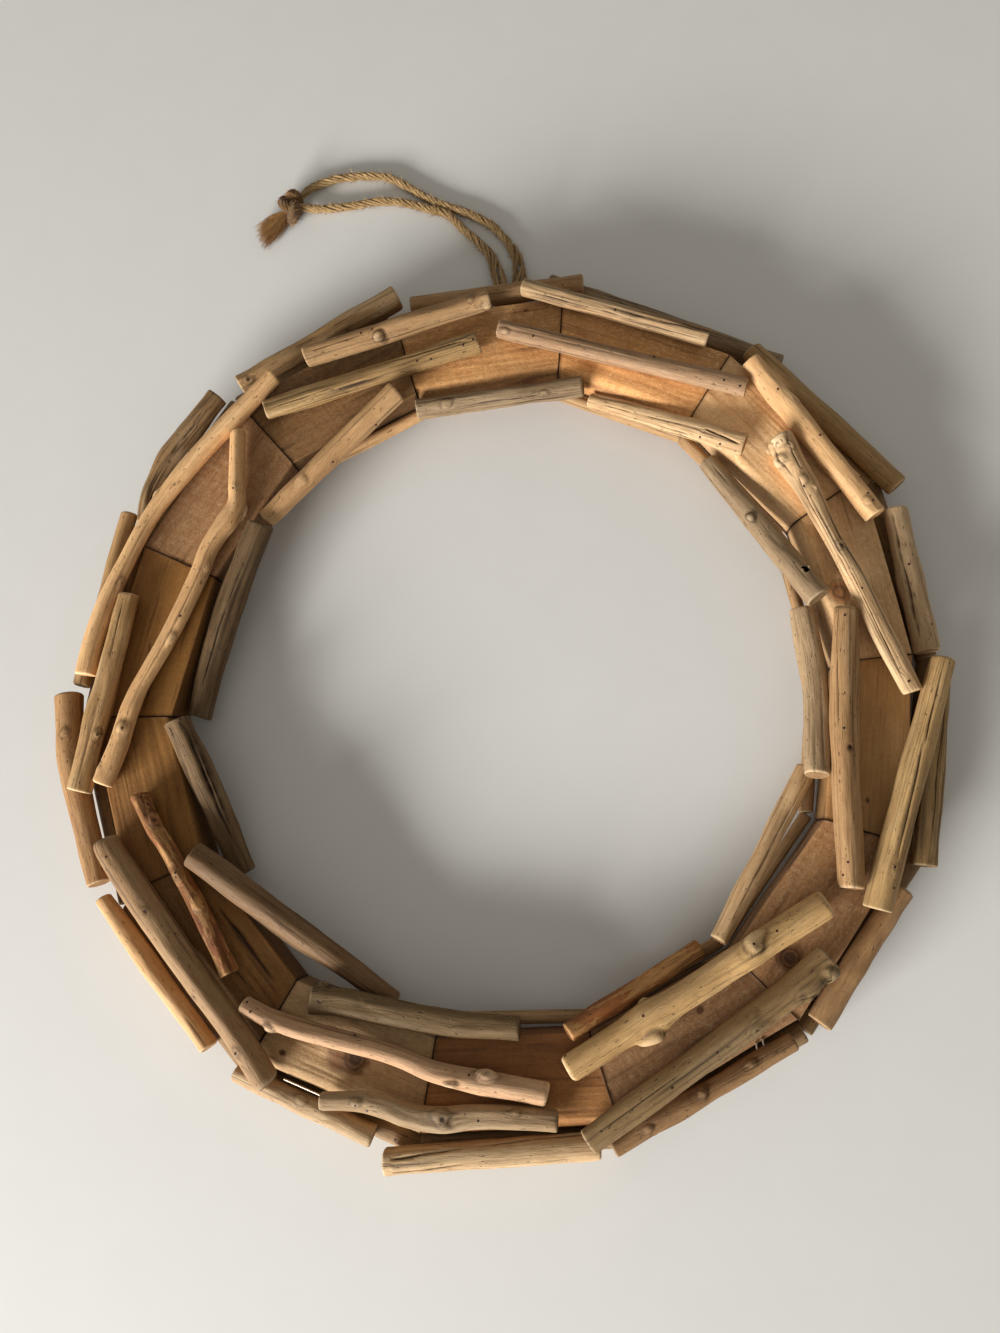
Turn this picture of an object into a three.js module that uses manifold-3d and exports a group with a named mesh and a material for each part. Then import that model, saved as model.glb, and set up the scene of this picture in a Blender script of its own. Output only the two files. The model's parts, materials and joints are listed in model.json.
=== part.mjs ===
// A driftwood wreath, lying on its back: fourteen flat backing boards butted in a ring, with sticks
// nailed round their outer and inner edges and on their face, and a hanging loop of jute twine.
// Millimetres, +Z up. The boards' backs are at Z = 0, and places are measured from the ring's centre
// until the whole group is moved at the end.
import * as THREE from "three";
import { mergeVertices } from "three/addons/utils/BufferGeometryUtils.js";
import Module from "manifold-3d";

const wasm = await Module();
wasm.setup();

// Driving dimensions
const BOARD_THICKNESS = 20;
const CLEARANCE = 0.3;
const TWINE_DIAMETER = 3.8;
const FACE = BOARD_THICKNESS + CLEARANCE;
const RING_CENTRE = [6.1, -3.7, 0];
const STICK_SIDES = 8;
const LOW_STICK_SIDES = 6;

// Finishes
const wood = (color, roughness = 0.75) =>
  new THREE.MeshStandardMaterial({ color, roughness, metalness: 0 });
const WOOD = {
  board: wood("#b98a55"),
  tan: wood("#bd935e"),
  pale: wood("#cfb083"),
  grey: wood("#9a8468"),
  pink: wood("#a9826a"),
  brown: wood("#8d6a42"),
  olive: wood("#a58c55"),
  orange: wood("#b5814b"),
  red: wood("#8a5530"),
};
const JUTE = wood("#a58255", 0.95);

const wreath = new THREE.Group();

function addPiece(name, geometry, material) {
  const mesh = new THREE.Mesh(geometry, material);
  mesh.name = name;
  wreath.add(mesh);
  return mesh;
}

// A place in the ring: distance from the centre, degrees anticlockwise from +X, and height.
function place(radius, degrees, height = 0) {
  const angle = THREE.MathUtils.degToRad(degrees);
  return new THREE.Vector3(radius * Math.cos(angle), radius * Math.sin(angle), height);
}

// Joints between the boards, clockwise from the top: the inner corners' degrees and radius, and the
// outer corners'. The ring is not quite true, and is pulled in at the fifth joint.
const JOINTS = [
  [104.8, 139, 104.9, 181],
  [78.9, 143.5, 80.2, 182],
  [54, 143, 54.6, 179.5],
  [28.2, 141.5, 29.2, 178],
  [2.9, 138.5, 3.2, 169.6],
  [336.6, 140, 337.6, 175],
  [310.4, 139, 311.1, 176],
  [284.4, 140, 285, 178],
  [259.7, 141, 259.8, 180],
  [235, 143, 235.8, 181],
  [209.1, 141, 207.9, 179],
  [183.4, 141.5, 182.6, 180],
  [157, 136, 156.5, 175],
  [131.1, 139, 131, 181],
];

// Boards with a rounded edge, left from the log: the board's number, and how far its face is cut
// back along the inner and the outer edge.
const ROUNDED_EDGES = new Map([
  [1, { inner: 4.5, outer: 0.8 }],
  [2, { inner: 5, outer: 0.8 }],
  [3, { inner: 4, outer: 0.8 }],
  [4, { inner: 5, outer: 0.8 }],
  [8, { inner: 0.8, outer: 5 }],
  [9, { inner: 0.8, outer: 5 }],
  [7, { inner: 0.8, outer: 3 }],
  [11, { inner: 2.5, outer: 1.5 }],
]);
const SAWN_EDGE = { inner: 0.8, outer: 0.8 };
const EDGE_STEPS = [
  [0, 0],
  [0.62, 0],
  [0.88, 0.3],
  [1, 1],
];

// The inner and outer corner of a board's end, half a gap to one side of the joint's line.
function boardEnd([innerAngle, innerRadius, outerAngle, outerRadius], side) {
  const inner = place(innerRadius, innerAngle);
  const outer = place(outerRadius, outerAngle);
  const along = outer.clone().sub(inner).normalize();
  const aside = new THREE.Vector3(-along.y, along.x, 0).multiplyScalar((side * CLEARANCE) / 2);
  return [inner.add(aside), outer.add(aside)];
}

// A board is extruded from its four-cornered outline, and its long edges are then rounded over.
function makeBoard(number) {
  const [innerStart, outerStart] = boardEnd(JOINTS[number - 1], -1);
  const [innerEnd, outerEnd] = boardEnd(JOINTS[number % JOINTS.length], 1);
  const outline = new THREE.Shape([innerStart, innerEnd, outerEnd, outerStart]);
  const geometry = new THREE.ExtrudeGeometry(outline, {
    depth: BOARD_THICKNESS,
    steps: EDGE_STEPS.length - 1,
    bevelEnabled: false,
  });
  const edge = ROUNDED_EDGES.get(number) ?? SAWN_EDGE;
  const outward = innerStart.clone().add(innerEnd).add(outerStart).add(outerEnd).normalize();
  const middle = (innerStart.dot(outward) + outerStart.dot(outward)) / 2;
  const position = geometry.attributes.position;
  const point = new THREE.Vector3();
  for (let i = 0; i < position.count; i++) {
    point.fromBufferAttribute(position, i);
    const level = Math.round((point.z / BOARD_THICKNESS) * (EDGE_STEPS.length - 1));
    const [height, cut] = EDGE_STEPS[level];
    const isOuter = point.dot(outward) > middle;
    const inward = isOuter ? cut * edge.outer : -cut * edge.inner;
    const plan = new THREE.Vector2(point.x, point.y);
    plan.setLength(plan.length() - inward);
    position.setXYZ(i, plan.x, plan.y, height * BOARD_THICKNESS);
  }
  return geometry;
}

for (let number = 1; number <= JOINTS.length; number++) {
  addPiece("board_" + String(number).padStart(2, "0"), makeBoard(number), WOOD.board);
}

// The seeds of each group of sticks.
const FACE_SEED = 1;
const SIDE_SEED = 40;
const LOWER_OUTER_SEED = 90;
const LOWER_INNER_SEED = 110;

// Seeded draws, so that the wood's unevenness is the same each time.
function makeRandom(seed) {
  let state = seed * 7919 + 17;
  return () => {
    state = (state * 16807) % 2147483647;
    return state / 2147483647;
  };
}

// How far a stick is from round, how much its ends are narrowed, and the shape of its knobs.
const OVAL = 0.05;
const LOBES = 0.035;
const END_CUT = 0.55;
const MOST_END_CUT = 0.225;
const KNOB_LENGTH = 4.5;
const KNOB_NARROWING = 2.6;

// A stick is a closed cylinder bent along its path. widths are its diameters at even stations,
// flat is its height for a width of 1, round is how far each end is rounded off, and a knob is
// [part of the length, degrees round from the top, height in mm].
function makeStick(shape) {
  const { path, widths, flat = 1, round = 1.2, knobs = [] } = shape;
  const { seed = 1, rings = 8, sides = STICK_SIDES } = shape;
  const curve = new THREE.CatmullRomCurve3(path, false, "centripetal");
  const length = curve.getLength();
  const random = makeRandom(seed);
  const phase = random() * Math.PI * 2;
  const phase3 = random() * Math.PI * 2;
  const geometry = new THREE.CylinderGeometry(1, 1, 1, sides, rings);
  const position = geometry.attributes.position;
  const stations = [];
  for (let ring = 0; ring <= rings; ring++) {
    const near = round / length;
    let along = ring / rings;
    if (ring === 1) along = near;
    if (ring === rings - 1) along = 1 - near;
    if (ring > 1 && ring < rings - 1) along = near + ((1 - 2 * near) * (ring - 1)) / (rings - 2);
    const isEnd = ring === 0 || ring === rings;
    const span = along * (widths.length - 1);
    const low = Math.min(Math.floor(span), widths.length - 2);
    const width = THREE.MathUtils.lerp(widths[low], widths[low + 1], span - low);
    const tangent = curve.getTangentAt(along);
    const side = new THREE.Vector3(tangent.y, -tangent.x, 0).normalize();
    const up = new THREE.Vector3().crossVectors(side, tangent).normalize();
    stations.push({
      along,
      centre: curve.getPointAt(along),
      radius: width / 2 - (isEnd ? Math.min(END_CUT * round, MOST_END_CUT * width) : 0),
      side,
      up,
    });
  }
  const point = new THREE.Vector3();
  for (let i = 0; i < position.count; i++) {
    const ring = Math.round((position.getY(i) + 0.5) * rings);
    const isCentre = Math.hypot(position.getX(i), position.getZ(i)) < 0.5;
    const around = Math.atan2(position.getX(i), position.getZ(i));
    const { along, centre, radius, side, up } = stations[ring];
    const oval = OVAL * Math.cos(2 * around + phase);
    const lobed = LOBES * Math.cos(3 * around + phase3 + 2 * along);
    let reach = 1 + oval + lobed;
    for (const [at, degrees, height] of knobs) {
      const turn = around - THREE.MathUtils.degToRad(degrees);
      const away = Math.hypot(((along - at) * length) / KNOB_LENGTH, Math.sin(turn / 2) * KNOB_NARROWING);
      reach += (height / radius) * Math.exp(-away * away);
    }
    point.copy(centre);
    if (!isCentre) {
      point.addScaledVector(up, Math.cos(around) * radius * reach * flat);
      point.addScaledVector(side, Math.sin(around) * radius * reach);
    }
    position.setXYZ(i, point.x, point.y, point.z);
  }
  geometry.deleteAttribute("normal");
  geometry.deleteAttribute("uv");
  return mergeVertices(geometry, 1e-4);
}

// Sets a stick down, so that its lowest point is at the height given.
function restOn(geometry, height) {
  geometry.computeBoundingBox();
  return geometry.translate(0, 0, height - geometry.boundingBox.min.z);
}

// Sticks on the face. Places are [radius, degrees]; each rests on the boards.
const FACE_STICKS = [
  {
    name: "front_outer_01",
    at: [[176.5, 119.3], [176.8, 90.5]],
    widths: [9.6, 10, 9.8],
    wood: "tan",
    knobs: [[0.42, 100, 2]],
  },
  { name: "front_outer_02", at: [[182.3, 85.9], [178.4, 58.1]], widths: [8, 8, 8.2], wood: "pale" },
  {
    name: "front_outer_03",
    at: [[178, 51.6], [171.1, 22.9]],
    widths: [8.4, 9.6, 9.4, 8.6],
    wood: "tan",
  },
  { name: "front_outer_04", at: [[178.7, 2], [171.2, 328]], widths: [9.4, 10.4, 10.6], wood: "olive" },
  {
    name: "front_outer_05",
    at: [[178.2, 280.9], [163, 307.7], [166.7, 319.5]],
    widths: [10, 10.4, 11, 12],
    wood: "olive",
    knobs: [[0.86, 60, 1.8]],
    rings: 11,
  },
  {
    name: "front_outer_06",
    at: [
      [176.9, 246.7], [169.8, 253.5], [170.3, 258.1], [169.6, 262.5], [166.9, 267.9],
      [167.1, 272.3], [169.6, 277.7],
    ],
    widths: [7.4, 8, 9, 8.8, 8.4, 8],
    wood: "pale",
    knobs: [[0.52, 130, 1.2]],
    rings: 13,
  },
  {
    name: "front_outer_07",
    at: [[175.6, 200.1], [175.4, 201.9], [170.9, 209.8], [169, 222], [171.4, 230.2], [180.8, 240]],
    widths: [11.4, 12.2, 11.6, 11, 10.8],
    wood: "tan",
    round: 3,
    rings: 12,
  },
  {
    name: "front_outer_08",
    at: [[168.8, 164.3], [183.6, 192.9]],
    widths: [9, 9.6, 9.8],
    wood: "brown",
    knobs: [[0.68, 40, 1]],
  },
  {
    name: "front_outer_09",
    at: [
      [178.1, 124.4], [174.4, 131.4], [173.4, 137.1], [173.4, 143.6], [175.2, 152.3], [176, 159.5],
      [177.4, 164.3], [179, 170.9], [180.6, 177],
    ],
    widths: [8, 8.6, 8.2, 7.6, 7.2, 8.2, 8.8],
    wood: "tan",
    rings: 14,
  },
  {
    name: "front_inner_01",
    at: [[166.8, 128.9], [156.6, 92.4]],
    widths: [9.6, 10.4, 10],
    wood: "olive",
    flat: 0.85,
    round: 0.8,
  },
  {
    name: "front_inner_02",
    at: [[162.7, 89.3], [167.1, 49.3]],
    widths: [8, 8.6, 8.8, 8.4],
    wood: "pink",
  },
  {
    name: "front_inner_03",
    at: [[158, 40.3], [151.6, 27.7], [166.3, 357.5]],
    widths: [11, 10, 7.6, 7.8, 8.2, 8.2],
    wood: "pale",
    knobs: [[0.04, -60, 2.4], [0.08, 80, 1.6]],
    rings: 12,
  },
  {
    name: "front_inner_04",
    at: [[145.2, 11.2], [139.2, 356], [159.6, 328.6]],
    widths: [10.4, 11.2, 11, 11.2],
    wood: "tan",
    rings: 10,
  },
  {
    name: "front_inner_05",
    at: [[151.9, 280], [154.7, 325.4]],
    widths: [11.4, 10.8, 11.2, 11.4],
    wood: "olive",
    round: 3,
    knobs: [[0.29, -80, 1.8], [0.31, 85, 2.4], [0.7, 10, 1.6]],
    rings: 12,
  },
  {
    name: "front_inner_06",
    at: [
      [163.2, 230.9], [160.2, 236], [152.6, 246.8], [150.8, 253.8], [153, 260.4], [154.9, 269],
      [159.7, 277],
    ],
    widths: [7.4, 8.4, 8.2, 8.6, 9.4],
    wood: "pink",
    knobs: [[0.2, 0, 1], [0.8, 120, 1.2]],
    rings: 13,
  },
  {
    name: "front_inner_07",
    at: [
      [158, 195.6], [154.3, 202.3], [151.8, 206.6], [152, 210.9], [151.8, 214.5], [152.9, 218.8],
      [158.3, 226.7],
    ],
    widths: [8.6, 8.4, 7.8, 8, 8.2],
    wood: "red",
    knobs: [[0.25, 60, 0.8]],
    rings: 12,
  },
  {
    name: "front_inner_08",
    at: [
      [167, 134.1], [147, 141.9], [142, 144.6], [142.8, 152], [141.6, 156.3], [142.1, 162.9],
      [146.2, 170.7], [157.1, 180.6], [164.5, 188], [172.8, 192.7],
    ],
    widths: [7.4, 7.8, 8.8, 8, 7.8, 7.8, 8.4, 8.8],
    wood: "tan",
    knobs: [[0.24, 90, 2.6], [0.54, -50, 0.8], [0.8, -60, 0.8]],
    rings: 22,
  },
];
FACE_STICKS.forEach(({ name, at, wood: finish, ...shape }, index) => {
  const path = at.map(([radius, degrees]) => place(radius, degrees, FACE));
  const geometry = makeStick({ path, seed: FACE_SEED + index, ...shape });
  addPiece(name, restOn(geometry, FACE), WOOD[finish]);
});

// Sticks round the outer edge. Places are [radius, degrees, height of the middle].
const OUTER_STICKS = [
  {
    name: "outer_side_01",
    at: [[190.7, 129.2, 14.4], [193.2, 103.8, 14.4]],
    widths: [9.6, 10, 11],
    wood: "brown",
    knobs: [[0.08, 0, 0.8]],
  },
  {
    name: "outer_side_02",
    at: [[187.7, 102.5, 13.9], [192.5, 77.9, 13.8]],
    widths: [8, 9, 9.6],
    wood: "tan",
  },
  { name: "outer_side_03", at: [[197.2, 83, 5], [194.2, 49, 5]], widths: [9, 9, 9], wood: "grey" },
  {
    name: "outer_side_04",
    at: [[188.3, 53.1, 13.4], [190.4, 26.1, 12.6]],
    widths: [9, 10, 10],
    wood: "olive",
  },
  {
    name: "outer_side_05",
    at: [[183.1, 23.6, 15.3], [176.3, 3.6, 15.3]],
    widths: [10.4, 10.8, 10.4],
    wood: "grey",
  },
  {
    name: "outer_side_06",
    at: [[180, 359.7, 14.4], [183, 335.9, 14.4]],
    widths: [9.6, 10, 10],
    wood: "olive",
  },
  {
    name: "outer_side_07",
    at: [[178.8, 332.4, 14.9], [181.5, 312.6, 14.9]],
    widths: [9.6, 10.4, 10.6],
    wood: "orange",
  },
  {
    name: "outer_side_08",
    at: [[184.6, 283.4, 14.6], [180, 309.1, 14.6]],
    widths: [8.2, 8.4, 8],
    wood: "orange",
    knobs: [[0.3, 90, 0.8], [0.62, 90, 0.8]],
  },
  {
    name: "outer_side_09",
    at: [[191.8, 256, 15.7], [182.7, 282.2, 15.7]],
    widths: [11, 10.8, 10.4],
    wood: "pale",
  },
  {
    name: "outer_side_10",
    at: [[188.6, 234.8, 14.3], [184.7, 254, 14.3]],
    widths: [8.4, 9, 9.4],
    wood: "pale",
  },
  {
    name: "outer_side_11",
    at: [[192, 206.4, 11.8], [189.5, 230.3, 11.8]],
    widths: [8.6, 8.8, 8.8],
    wood: "tan",
  },
  {
    name: "outer_side_12",
    at: [[193, 179, 14.5], [191, 188.1, 14.5], [188.6, 195.9, 14.5], [189.6, 204.8, 14.5]],
    widths: [12.8, 12.8, 11.6, 11],
    wood: "orange",
    knobs: [[0.45, -80, 0.8]],
  },
  {
    name: "outer_side_13",
    at: [[191.9, 152.8, 14], [187.9, 177.9, 14]],
    widths: [8, 8.4, 8.4],
    wood: "brown",
  },
  {
    name: "outer_side_14",
    at: [
      [193.5, 132.5, 15.1], [190.1, 142.2, 15.1], [188.9, 146.5, 15.1], [186.3, 150, 15.1],
      [181.7, 153.3, 15.1],
    ],
    widths: [11, 11, 10, 9],
    rings: 11,
    wood: "brown",
  },
];

// Sticks round the inner edge. Each leans, with its clockwise end over the boards' edge.
const INNER_STICKS = [
  {
    name: "inner_side_01",
    at: [[134.2, 105.8, 17.8], [139.9, 73.6, 20.4]],
    widths: [9, 9, 9],
    wood: "grey",
    knobs: [[0.24, 0, 0.6]],
  },
  {
    name: "inner_side_02",
    at: [[137, 72.4, 14.8], [137.7, 58, 19.6], [147.3, 43.4, 24.3]],
    widths: [6.6, 8.6, 9.8],
    flat: 0.62,
    wood: "pale",
  },
  {
    name: "inner_side_03",
    at: [[134.9, 47.2, 13.9], [136.7, 13.9, 24.5]],
    widths: [8.4, 10, 11],
    wood: "grey",
    knobs: [[0.42, -30, 1.4]],
  },
  {
    name: "inner_side_04",
    at: [[131, 13.6, 15.6], [129.7, 357.6, 19.2], [133, 342.7, 24.4]],
    widths: [10.2, 10.8, 10],
    wood: "grey",
  },
  {
    name: "inner_side_05",
    at: [[130.4, 344.6, 11.4], [133.7, 310, 21.9]],
    widths: [8.2, 8.2, 7.4],
    wood: "pale",
  },
  {
    name: "inner_side_06",
    at: [[132.4, 307, 13.3], [139, 281, 23.9]],
    widths: [7.8, 8, 7.8],
    wood: "red",
  },
  {
    name: "inner_side_07",
    at: [[135.2, 273.7, 23.6], [135, 260.2, 23.6], [140.3, 244.1, 23.7], [145.9, 238.8, 23.7]],
    widths: [9.6, 10.4, 11.6, 11.6],
    wood: "olive",
    flat: 0.55,
    rings: 11,
  },
  {
    name: "inner_side_08",
    at: [[134.4, 251.4, 12], [143, 208.1, 28.4]],
    widths: [8.8, 12.4, 11.6],
    wood: "orange",
  },
  {
    name: "inner_side_09",
    at: [[133.2, 214.5, 8.6], [138.2, 184.4, 23.9]],
    widths: [10.2, 12.6, 12],
    wood: "olive",
  },
  {
    name: "inner_side_10",
    at: [[134.4, 183.4, 9.5], [128, 170.7, 13], [126.6, 158.7, 17], [129, 143.6, 23.4]],
    widths: [10.4, 12.4, 13, 13.2],
    wood: "grey",
  },
  {
    name: "inner_side_11",
    at: [[129.6, 142.7, 21], [130.3, 121.9, 24.1], [140.7, 107.9, 26.7]],
    widths: [9, 10.4, 10.6],
    wood: "tan",
    rings: 11,
  },
];
[...OUTER_STICKS, ...INNER_STICKS].forEach(({ name, at, wood: finish, ...shape }, index) => {
  const path = at.map(([radius, degrees, height]) => place(radius, degrees, height));
  addPiece(name, makeStick({ path, seed: SIDE_SEED + index, ...shape }), WOOD[finish]);
});

// A piece's geometry as a closed solid with merged vertices, and back, for joining.
function toSolid(geometry) {
  const plain = new THREE.BufferGeometry();
  plain.setAttribute("position", geometry.attributes.position);
  if (geometry.index) plain.setIndex(geometry.index);
  const merged = mergeVertices(plain, 1e-4);
  return new wasm.Manifold(
    new wasm.Mesh({
      numProp: 3,
      vertProperties: merged.attributes.position.array,
      triVerts: new Uint32Array(merged.index.array),
    }),
  );
}

function join(geometries) {
  const joined = geometries.map(toSolid).reduce((whole, solid) => whole.add(solid));
  const { vertProperties, triVerts } = joined.getMesh();
  const geometry = new THREE.BufferGeometry();
  geometry.setAttribute("position", new THREE.BufferAttribute(vertProperties, 3));
  return geometry.setIndex(new THREE.BufferAttribute(triVerts, 1));
}

// A row of sticks end to end, each sunk into the next where they meet.
function makeRow(corners, width, firstSeed) {
  const sticks = [];
  for (let i = 0; i + 1 < corners.length; i++) {
    const start = place(...corners[i]);
    const end = place(...corners[i + 1]);
    const past = end.clone().sub(start).normalize().multiplyScalar(ROW_OVERLAP);
    sticks.push(
      makeStick({
        path: [start.clone().sub(past), end.clone().add(past)],
        widths: [width, width * ROW_SWELL, width],
        seed: firstSeed + i,
        rings: ROW_RINGS,
        sides: LOW_STICK_SIDES,
      }),
    );
  }
  return join(sticks);
}

// The row below the outer sticks, clockwise from the second joint to the first. It is left open
// at the top, where the twine comes out.
const ROW_OVERLAP = 1.6;
const ROW_SWELL = 1.04;
const ROW_RINGS = 6;
const LOWER_OUTER_WIDTH = 9.2;
const LOWER_OUTER_CORNERS = [
  [183.2, 51.4, 5.3],
  [183.2, 28.5, 5.3],
  [178.6, 3.2, 5.3],
  [180.2, 337, 5.3],
  [181.2, 310.8, 5.3],
  [183.2, 284.8, 5.3],
  [185.2, 259.8, 5.3],
  [186.2, 235.3, 5.3],
  [184.2, 208.3, 5.3],
  [186.6, 183.2, 5.3],
  [187.2, 156.7, 5.3],
  [188.6, 131.1, 5.3],
  [188.2, 106, 5.3],
];
addPiece("lower_outer_sticks", makeRow(LOWER_OUTER_CORNERS, LOWER_OUTER_WIDTH, LOWER_OUTER_SEED), WOOD.brown);

// The thin row below the inner sticks, from the upper left round the right-hand side.
const LOWER_INNER_WIDTH = 5.2;
const LOWER_INNER_CORNERS = [
  [135, 128, 11],
  [136, 104.8, 9],
  [140, 79.4, 8.6],
  [139.6, 54.2, 7.6],
  [138.4, 28.5, 6],
  [133.4, 3.2, 4.5],
  [135.9, 337, 5],
  [135.9, 310.8, 5.5],
  [136.9, 284.8, 7],
  [134.5, 263, 9],
];
addPiece("lower_inner_sticks", makeRow(LOWER_INNER_CORNERS, LOWER_INNER_WIDTH, LOWER_INNER_SEED), WOOD.tan);

// The hanging loop. Both runs of twine start at the first board's outer wall, side by side, pass
// under outer_side_02 and come down to the surface. Points are x, y and z.
const RUN_HEIGHT = 2.2;
const UPPER_RUN = [
  [6.2, 178.7, 7],
  [7.2, 184, 7],
  [9.4, 194, 5.6],
  [10.1, 201.2, 3.6],
  [8.8, 211.9, RUN_HEIGHT],
  [4.1, 221.4, RUN_HEIGHT],
  [-3.6, 230.7, RUN_HEIGHT],
  [-15.3, 238.2, RUN_HEIGHT],
  [-24.7, 242.4, RUN_HEIGHT],
  [-34.6, 247.7, RUN_HEIGHT],
  [-44.7, 255.2, RUN_HEIGHT],
  [-54.8, 261.2, RUN_HEIGHT],
  [-66.5, 263.1, RUN_HEIGHT],
  [-79.7, 262.9, RUN_HEIGHT],
  [-89.8, 260.5, RUN_HEIGHT],
  [-97.3, 255.2, 4],
];
const LOWER_RUN = [
  [2.7, 178.7, 7],
  [2.2, 184, 7],
  [1.2, 194, 5.6],
  [0.1, 202, 3.6],
  [-3.7, 214, RUN_HEIGHT],
  [-9.5, 221.5, RUN_HEIGHT],
  [-17.3, 229.7, RUN_HEIGHT],
  [-24.7, 238, RUN_HEIGHT],
  [-34.6, 242.1, RUN_HEIGHT],
  [-46.6, 246.5, RUN_HEIGHT],
  [-59.6, 248.2, RUN_HEIGHT],
  [-72.2, 247.1, RUN_HEIGHT],
  [-84.3, 246.5, RUN_HEIGHT],
  [-95.7, 246.4, 4],
];
const TWINE_SIDES = 8;
const TWINE_STEP = 9.5;

function makeTwine(points) {
  const stations = points.map((point) => new THREE.Vector3(...point));
  const path = new THREE.CatmullRomCurve3(stations, false, "centripetal");
  const section = new THREE.Shape();
  for (let i = 0; i < TWINE_SIDES; i++) {
    const angle = (i / TWINE_SIDES) * Math.PI * 2;
    const x = (TWINE_DIAMETER / 2) * Math.cos(angle);
    const y = (TWINE_DIAMETER / 2) * Math.sin(angle);
    if (i === 0) section.moveTo(x, y);
    else section.lineTo(x, y);
  }
  return new THREE.ExtrudeGeometry(section, {
    extrudePath: path,
    steps: Math.round(path.getLength() / TWINE_STEP),
    bevelEnabled: false,
  });
}
addPiece("twine_loop", join([makeTwine(UPPER_RUN), makeTwine(LOWER_RUN)]), JUTE);

// The overhand knot that joins the runs, with its frayed tail lying beside it.
const KNOT = { radii: [6.4, 9.6, 4.4], turn: 8, middle: [-102.4, 247.4, 4.8], around: 12, levels: 8 };
const TAIL = {
  wide: 7.4,
  narrow: 4.2,
  length: 17,
  flatness: 0.42,
  turn: 135,
  middle: [-109.6, 236.6, 3.5],
  sides: 10,
};

function makeKnot() {
  const lump = new THREE.SphereGeometry(1, KNOT.around, KNOT.levels);
  lump.rotateX(Math.PI / 2);
  lump.scale(...KNOT.radii);
  lump.rotateZ(THREE.MathUtils.degToRad(KNOT.turn));
  lump.translate(...KNOT.middle);
  const tail = new THREE.CylinderGeometry(TAIL.wide, TAIL.narrow, TAIL.length, TAIL.sides, 1);
  tail.scale(1, 1, TAIL.flatness);
  tail.rotateZ(THREE.MathUtils.degToRad(TAIL.turn));
  tail.translate(...TAIL.middle);
  return join([lump, tail]);
}
addPiece("twine_knot", makeKnot(), JUTE);

// The ring is moved so that the origin is within 2 mm of below the middle of the wooden pieces.
wreath.position.set(...RING_CENTRE);

export default wreath;
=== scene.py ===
# %% [markdown]
# # Dressing a driftwood wreath
# Fourteen flat boards make a ring, and about sixty short sticks of driftwood are nailed round it.
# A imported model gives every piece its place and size. This lesson builds the same pieces again
# with the bends, knots, cracks and grain of real wood, and lays each one exactly where the packed
# model has it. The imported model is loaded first, because everything is measured from it.

# %% Load the fixed frame
import json
import math

import bpy
import numpy as np
from mathutils import Matrix, Vector


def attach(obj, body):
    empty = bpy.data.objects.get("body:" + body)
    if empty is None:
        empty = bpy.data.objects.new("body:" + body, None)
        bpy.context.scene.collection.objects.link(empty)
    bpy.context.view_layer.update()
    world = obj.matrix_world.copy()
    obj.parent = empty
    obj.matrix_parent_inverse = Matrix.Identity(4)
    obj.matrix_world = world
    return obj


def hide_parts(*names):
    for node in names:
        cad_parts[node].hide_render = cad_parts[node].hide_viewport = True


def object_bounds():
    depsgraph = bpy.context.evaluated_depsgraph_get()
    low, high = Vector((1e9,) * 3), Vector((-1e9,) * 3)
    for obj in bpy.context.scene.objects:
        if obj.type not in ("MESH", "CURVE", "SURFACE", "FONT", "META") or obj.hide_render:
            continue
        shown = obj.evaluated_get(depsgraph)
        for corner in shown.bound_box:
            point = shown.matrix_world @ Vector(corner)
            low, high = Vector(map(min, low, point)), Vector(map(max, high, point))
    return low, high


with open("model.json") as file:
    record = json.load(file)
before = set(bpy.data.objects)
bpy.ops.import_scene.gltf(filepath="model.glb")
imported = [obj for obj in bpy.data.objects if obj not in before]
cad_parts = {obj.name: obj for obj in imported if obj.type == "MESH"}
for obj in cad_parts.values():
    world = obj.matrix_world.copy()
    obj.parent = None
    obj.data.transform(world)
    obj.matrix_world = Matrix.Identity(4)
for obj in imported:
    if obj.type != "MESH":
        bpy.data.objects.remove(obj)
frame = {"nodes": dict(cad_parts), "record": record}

MM = 0.001
BODY = "root"
CAD_BOX = [list(corner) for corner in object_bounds()]
SLOT_OF = {part["node"]: part["material_slot"] for part in frame["record"]["subparts"]}
print("nodes:", len(frame["nodes"]), "box:", np.round(CAD_BOX, 3).tolist())

# %% [markdown]
# ## The camera
# The wreath lies on a table and was seen from almost straight above. The camera stands where the
# ring's shape in the picture says: 430 mm up, looking 13 degrees off the vertical. It is made
# first, because the cords have to fit its view, and because many small details are placed by
# looking along a ray from it.

# %% The camera
EYE = Vector((0.0529, -0.0784, 0.4301))
LOOK = Vector((-0.1082, 0.1993, -0.9739)).normalized()
PICTURE = (1000, 1333)
FOCAL_PIXELS = 1000
SENSOR_MM = 36

camera_right = LOOK.cross(Vector((0.0291, 0.9799, 0.1973))).normalized()
camera_up = camera_right.cross(LOOK)
bpy.ops.object.select_all(action="DESELECT")
bpy.ops.object.camera_add(location=EYE)
camera = bpy.context.object
camera.name = "camera_above"
camera.rotation_euler = Matrix((camera_right, camera_up, -LOOK)).transposed().to_euler()
camera.data.sensor_fit = "VERTICAL"
camera.data.sensor_height = SENSOR_MM
camera.data.lens = SENSOR_MM * FOCAL_PIXELS / PICTURE[1]
camera.data.clip_start = 0.01
bpy.context.scene.camera = camera


def ray_through(x, y):
    """The direction from the eye through a point of the 1000 x 1333 picture."""
    across = camera_right * (x - PICTURE[0] / 2) - camera_up * (y - PICTURE[1] / 2)
    return (LOOK * FOCAL_PIXELS + across).normalized()


def place_at(x, y, height):
    """The point at a height, in metres, that shows at a place in the picture."""
    way = ray_through(x, y)
    return EYE + way * ((height - EYE.z) / way.z)


print("lens:", round(camera.data.lens, 2), "mm")

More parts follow.
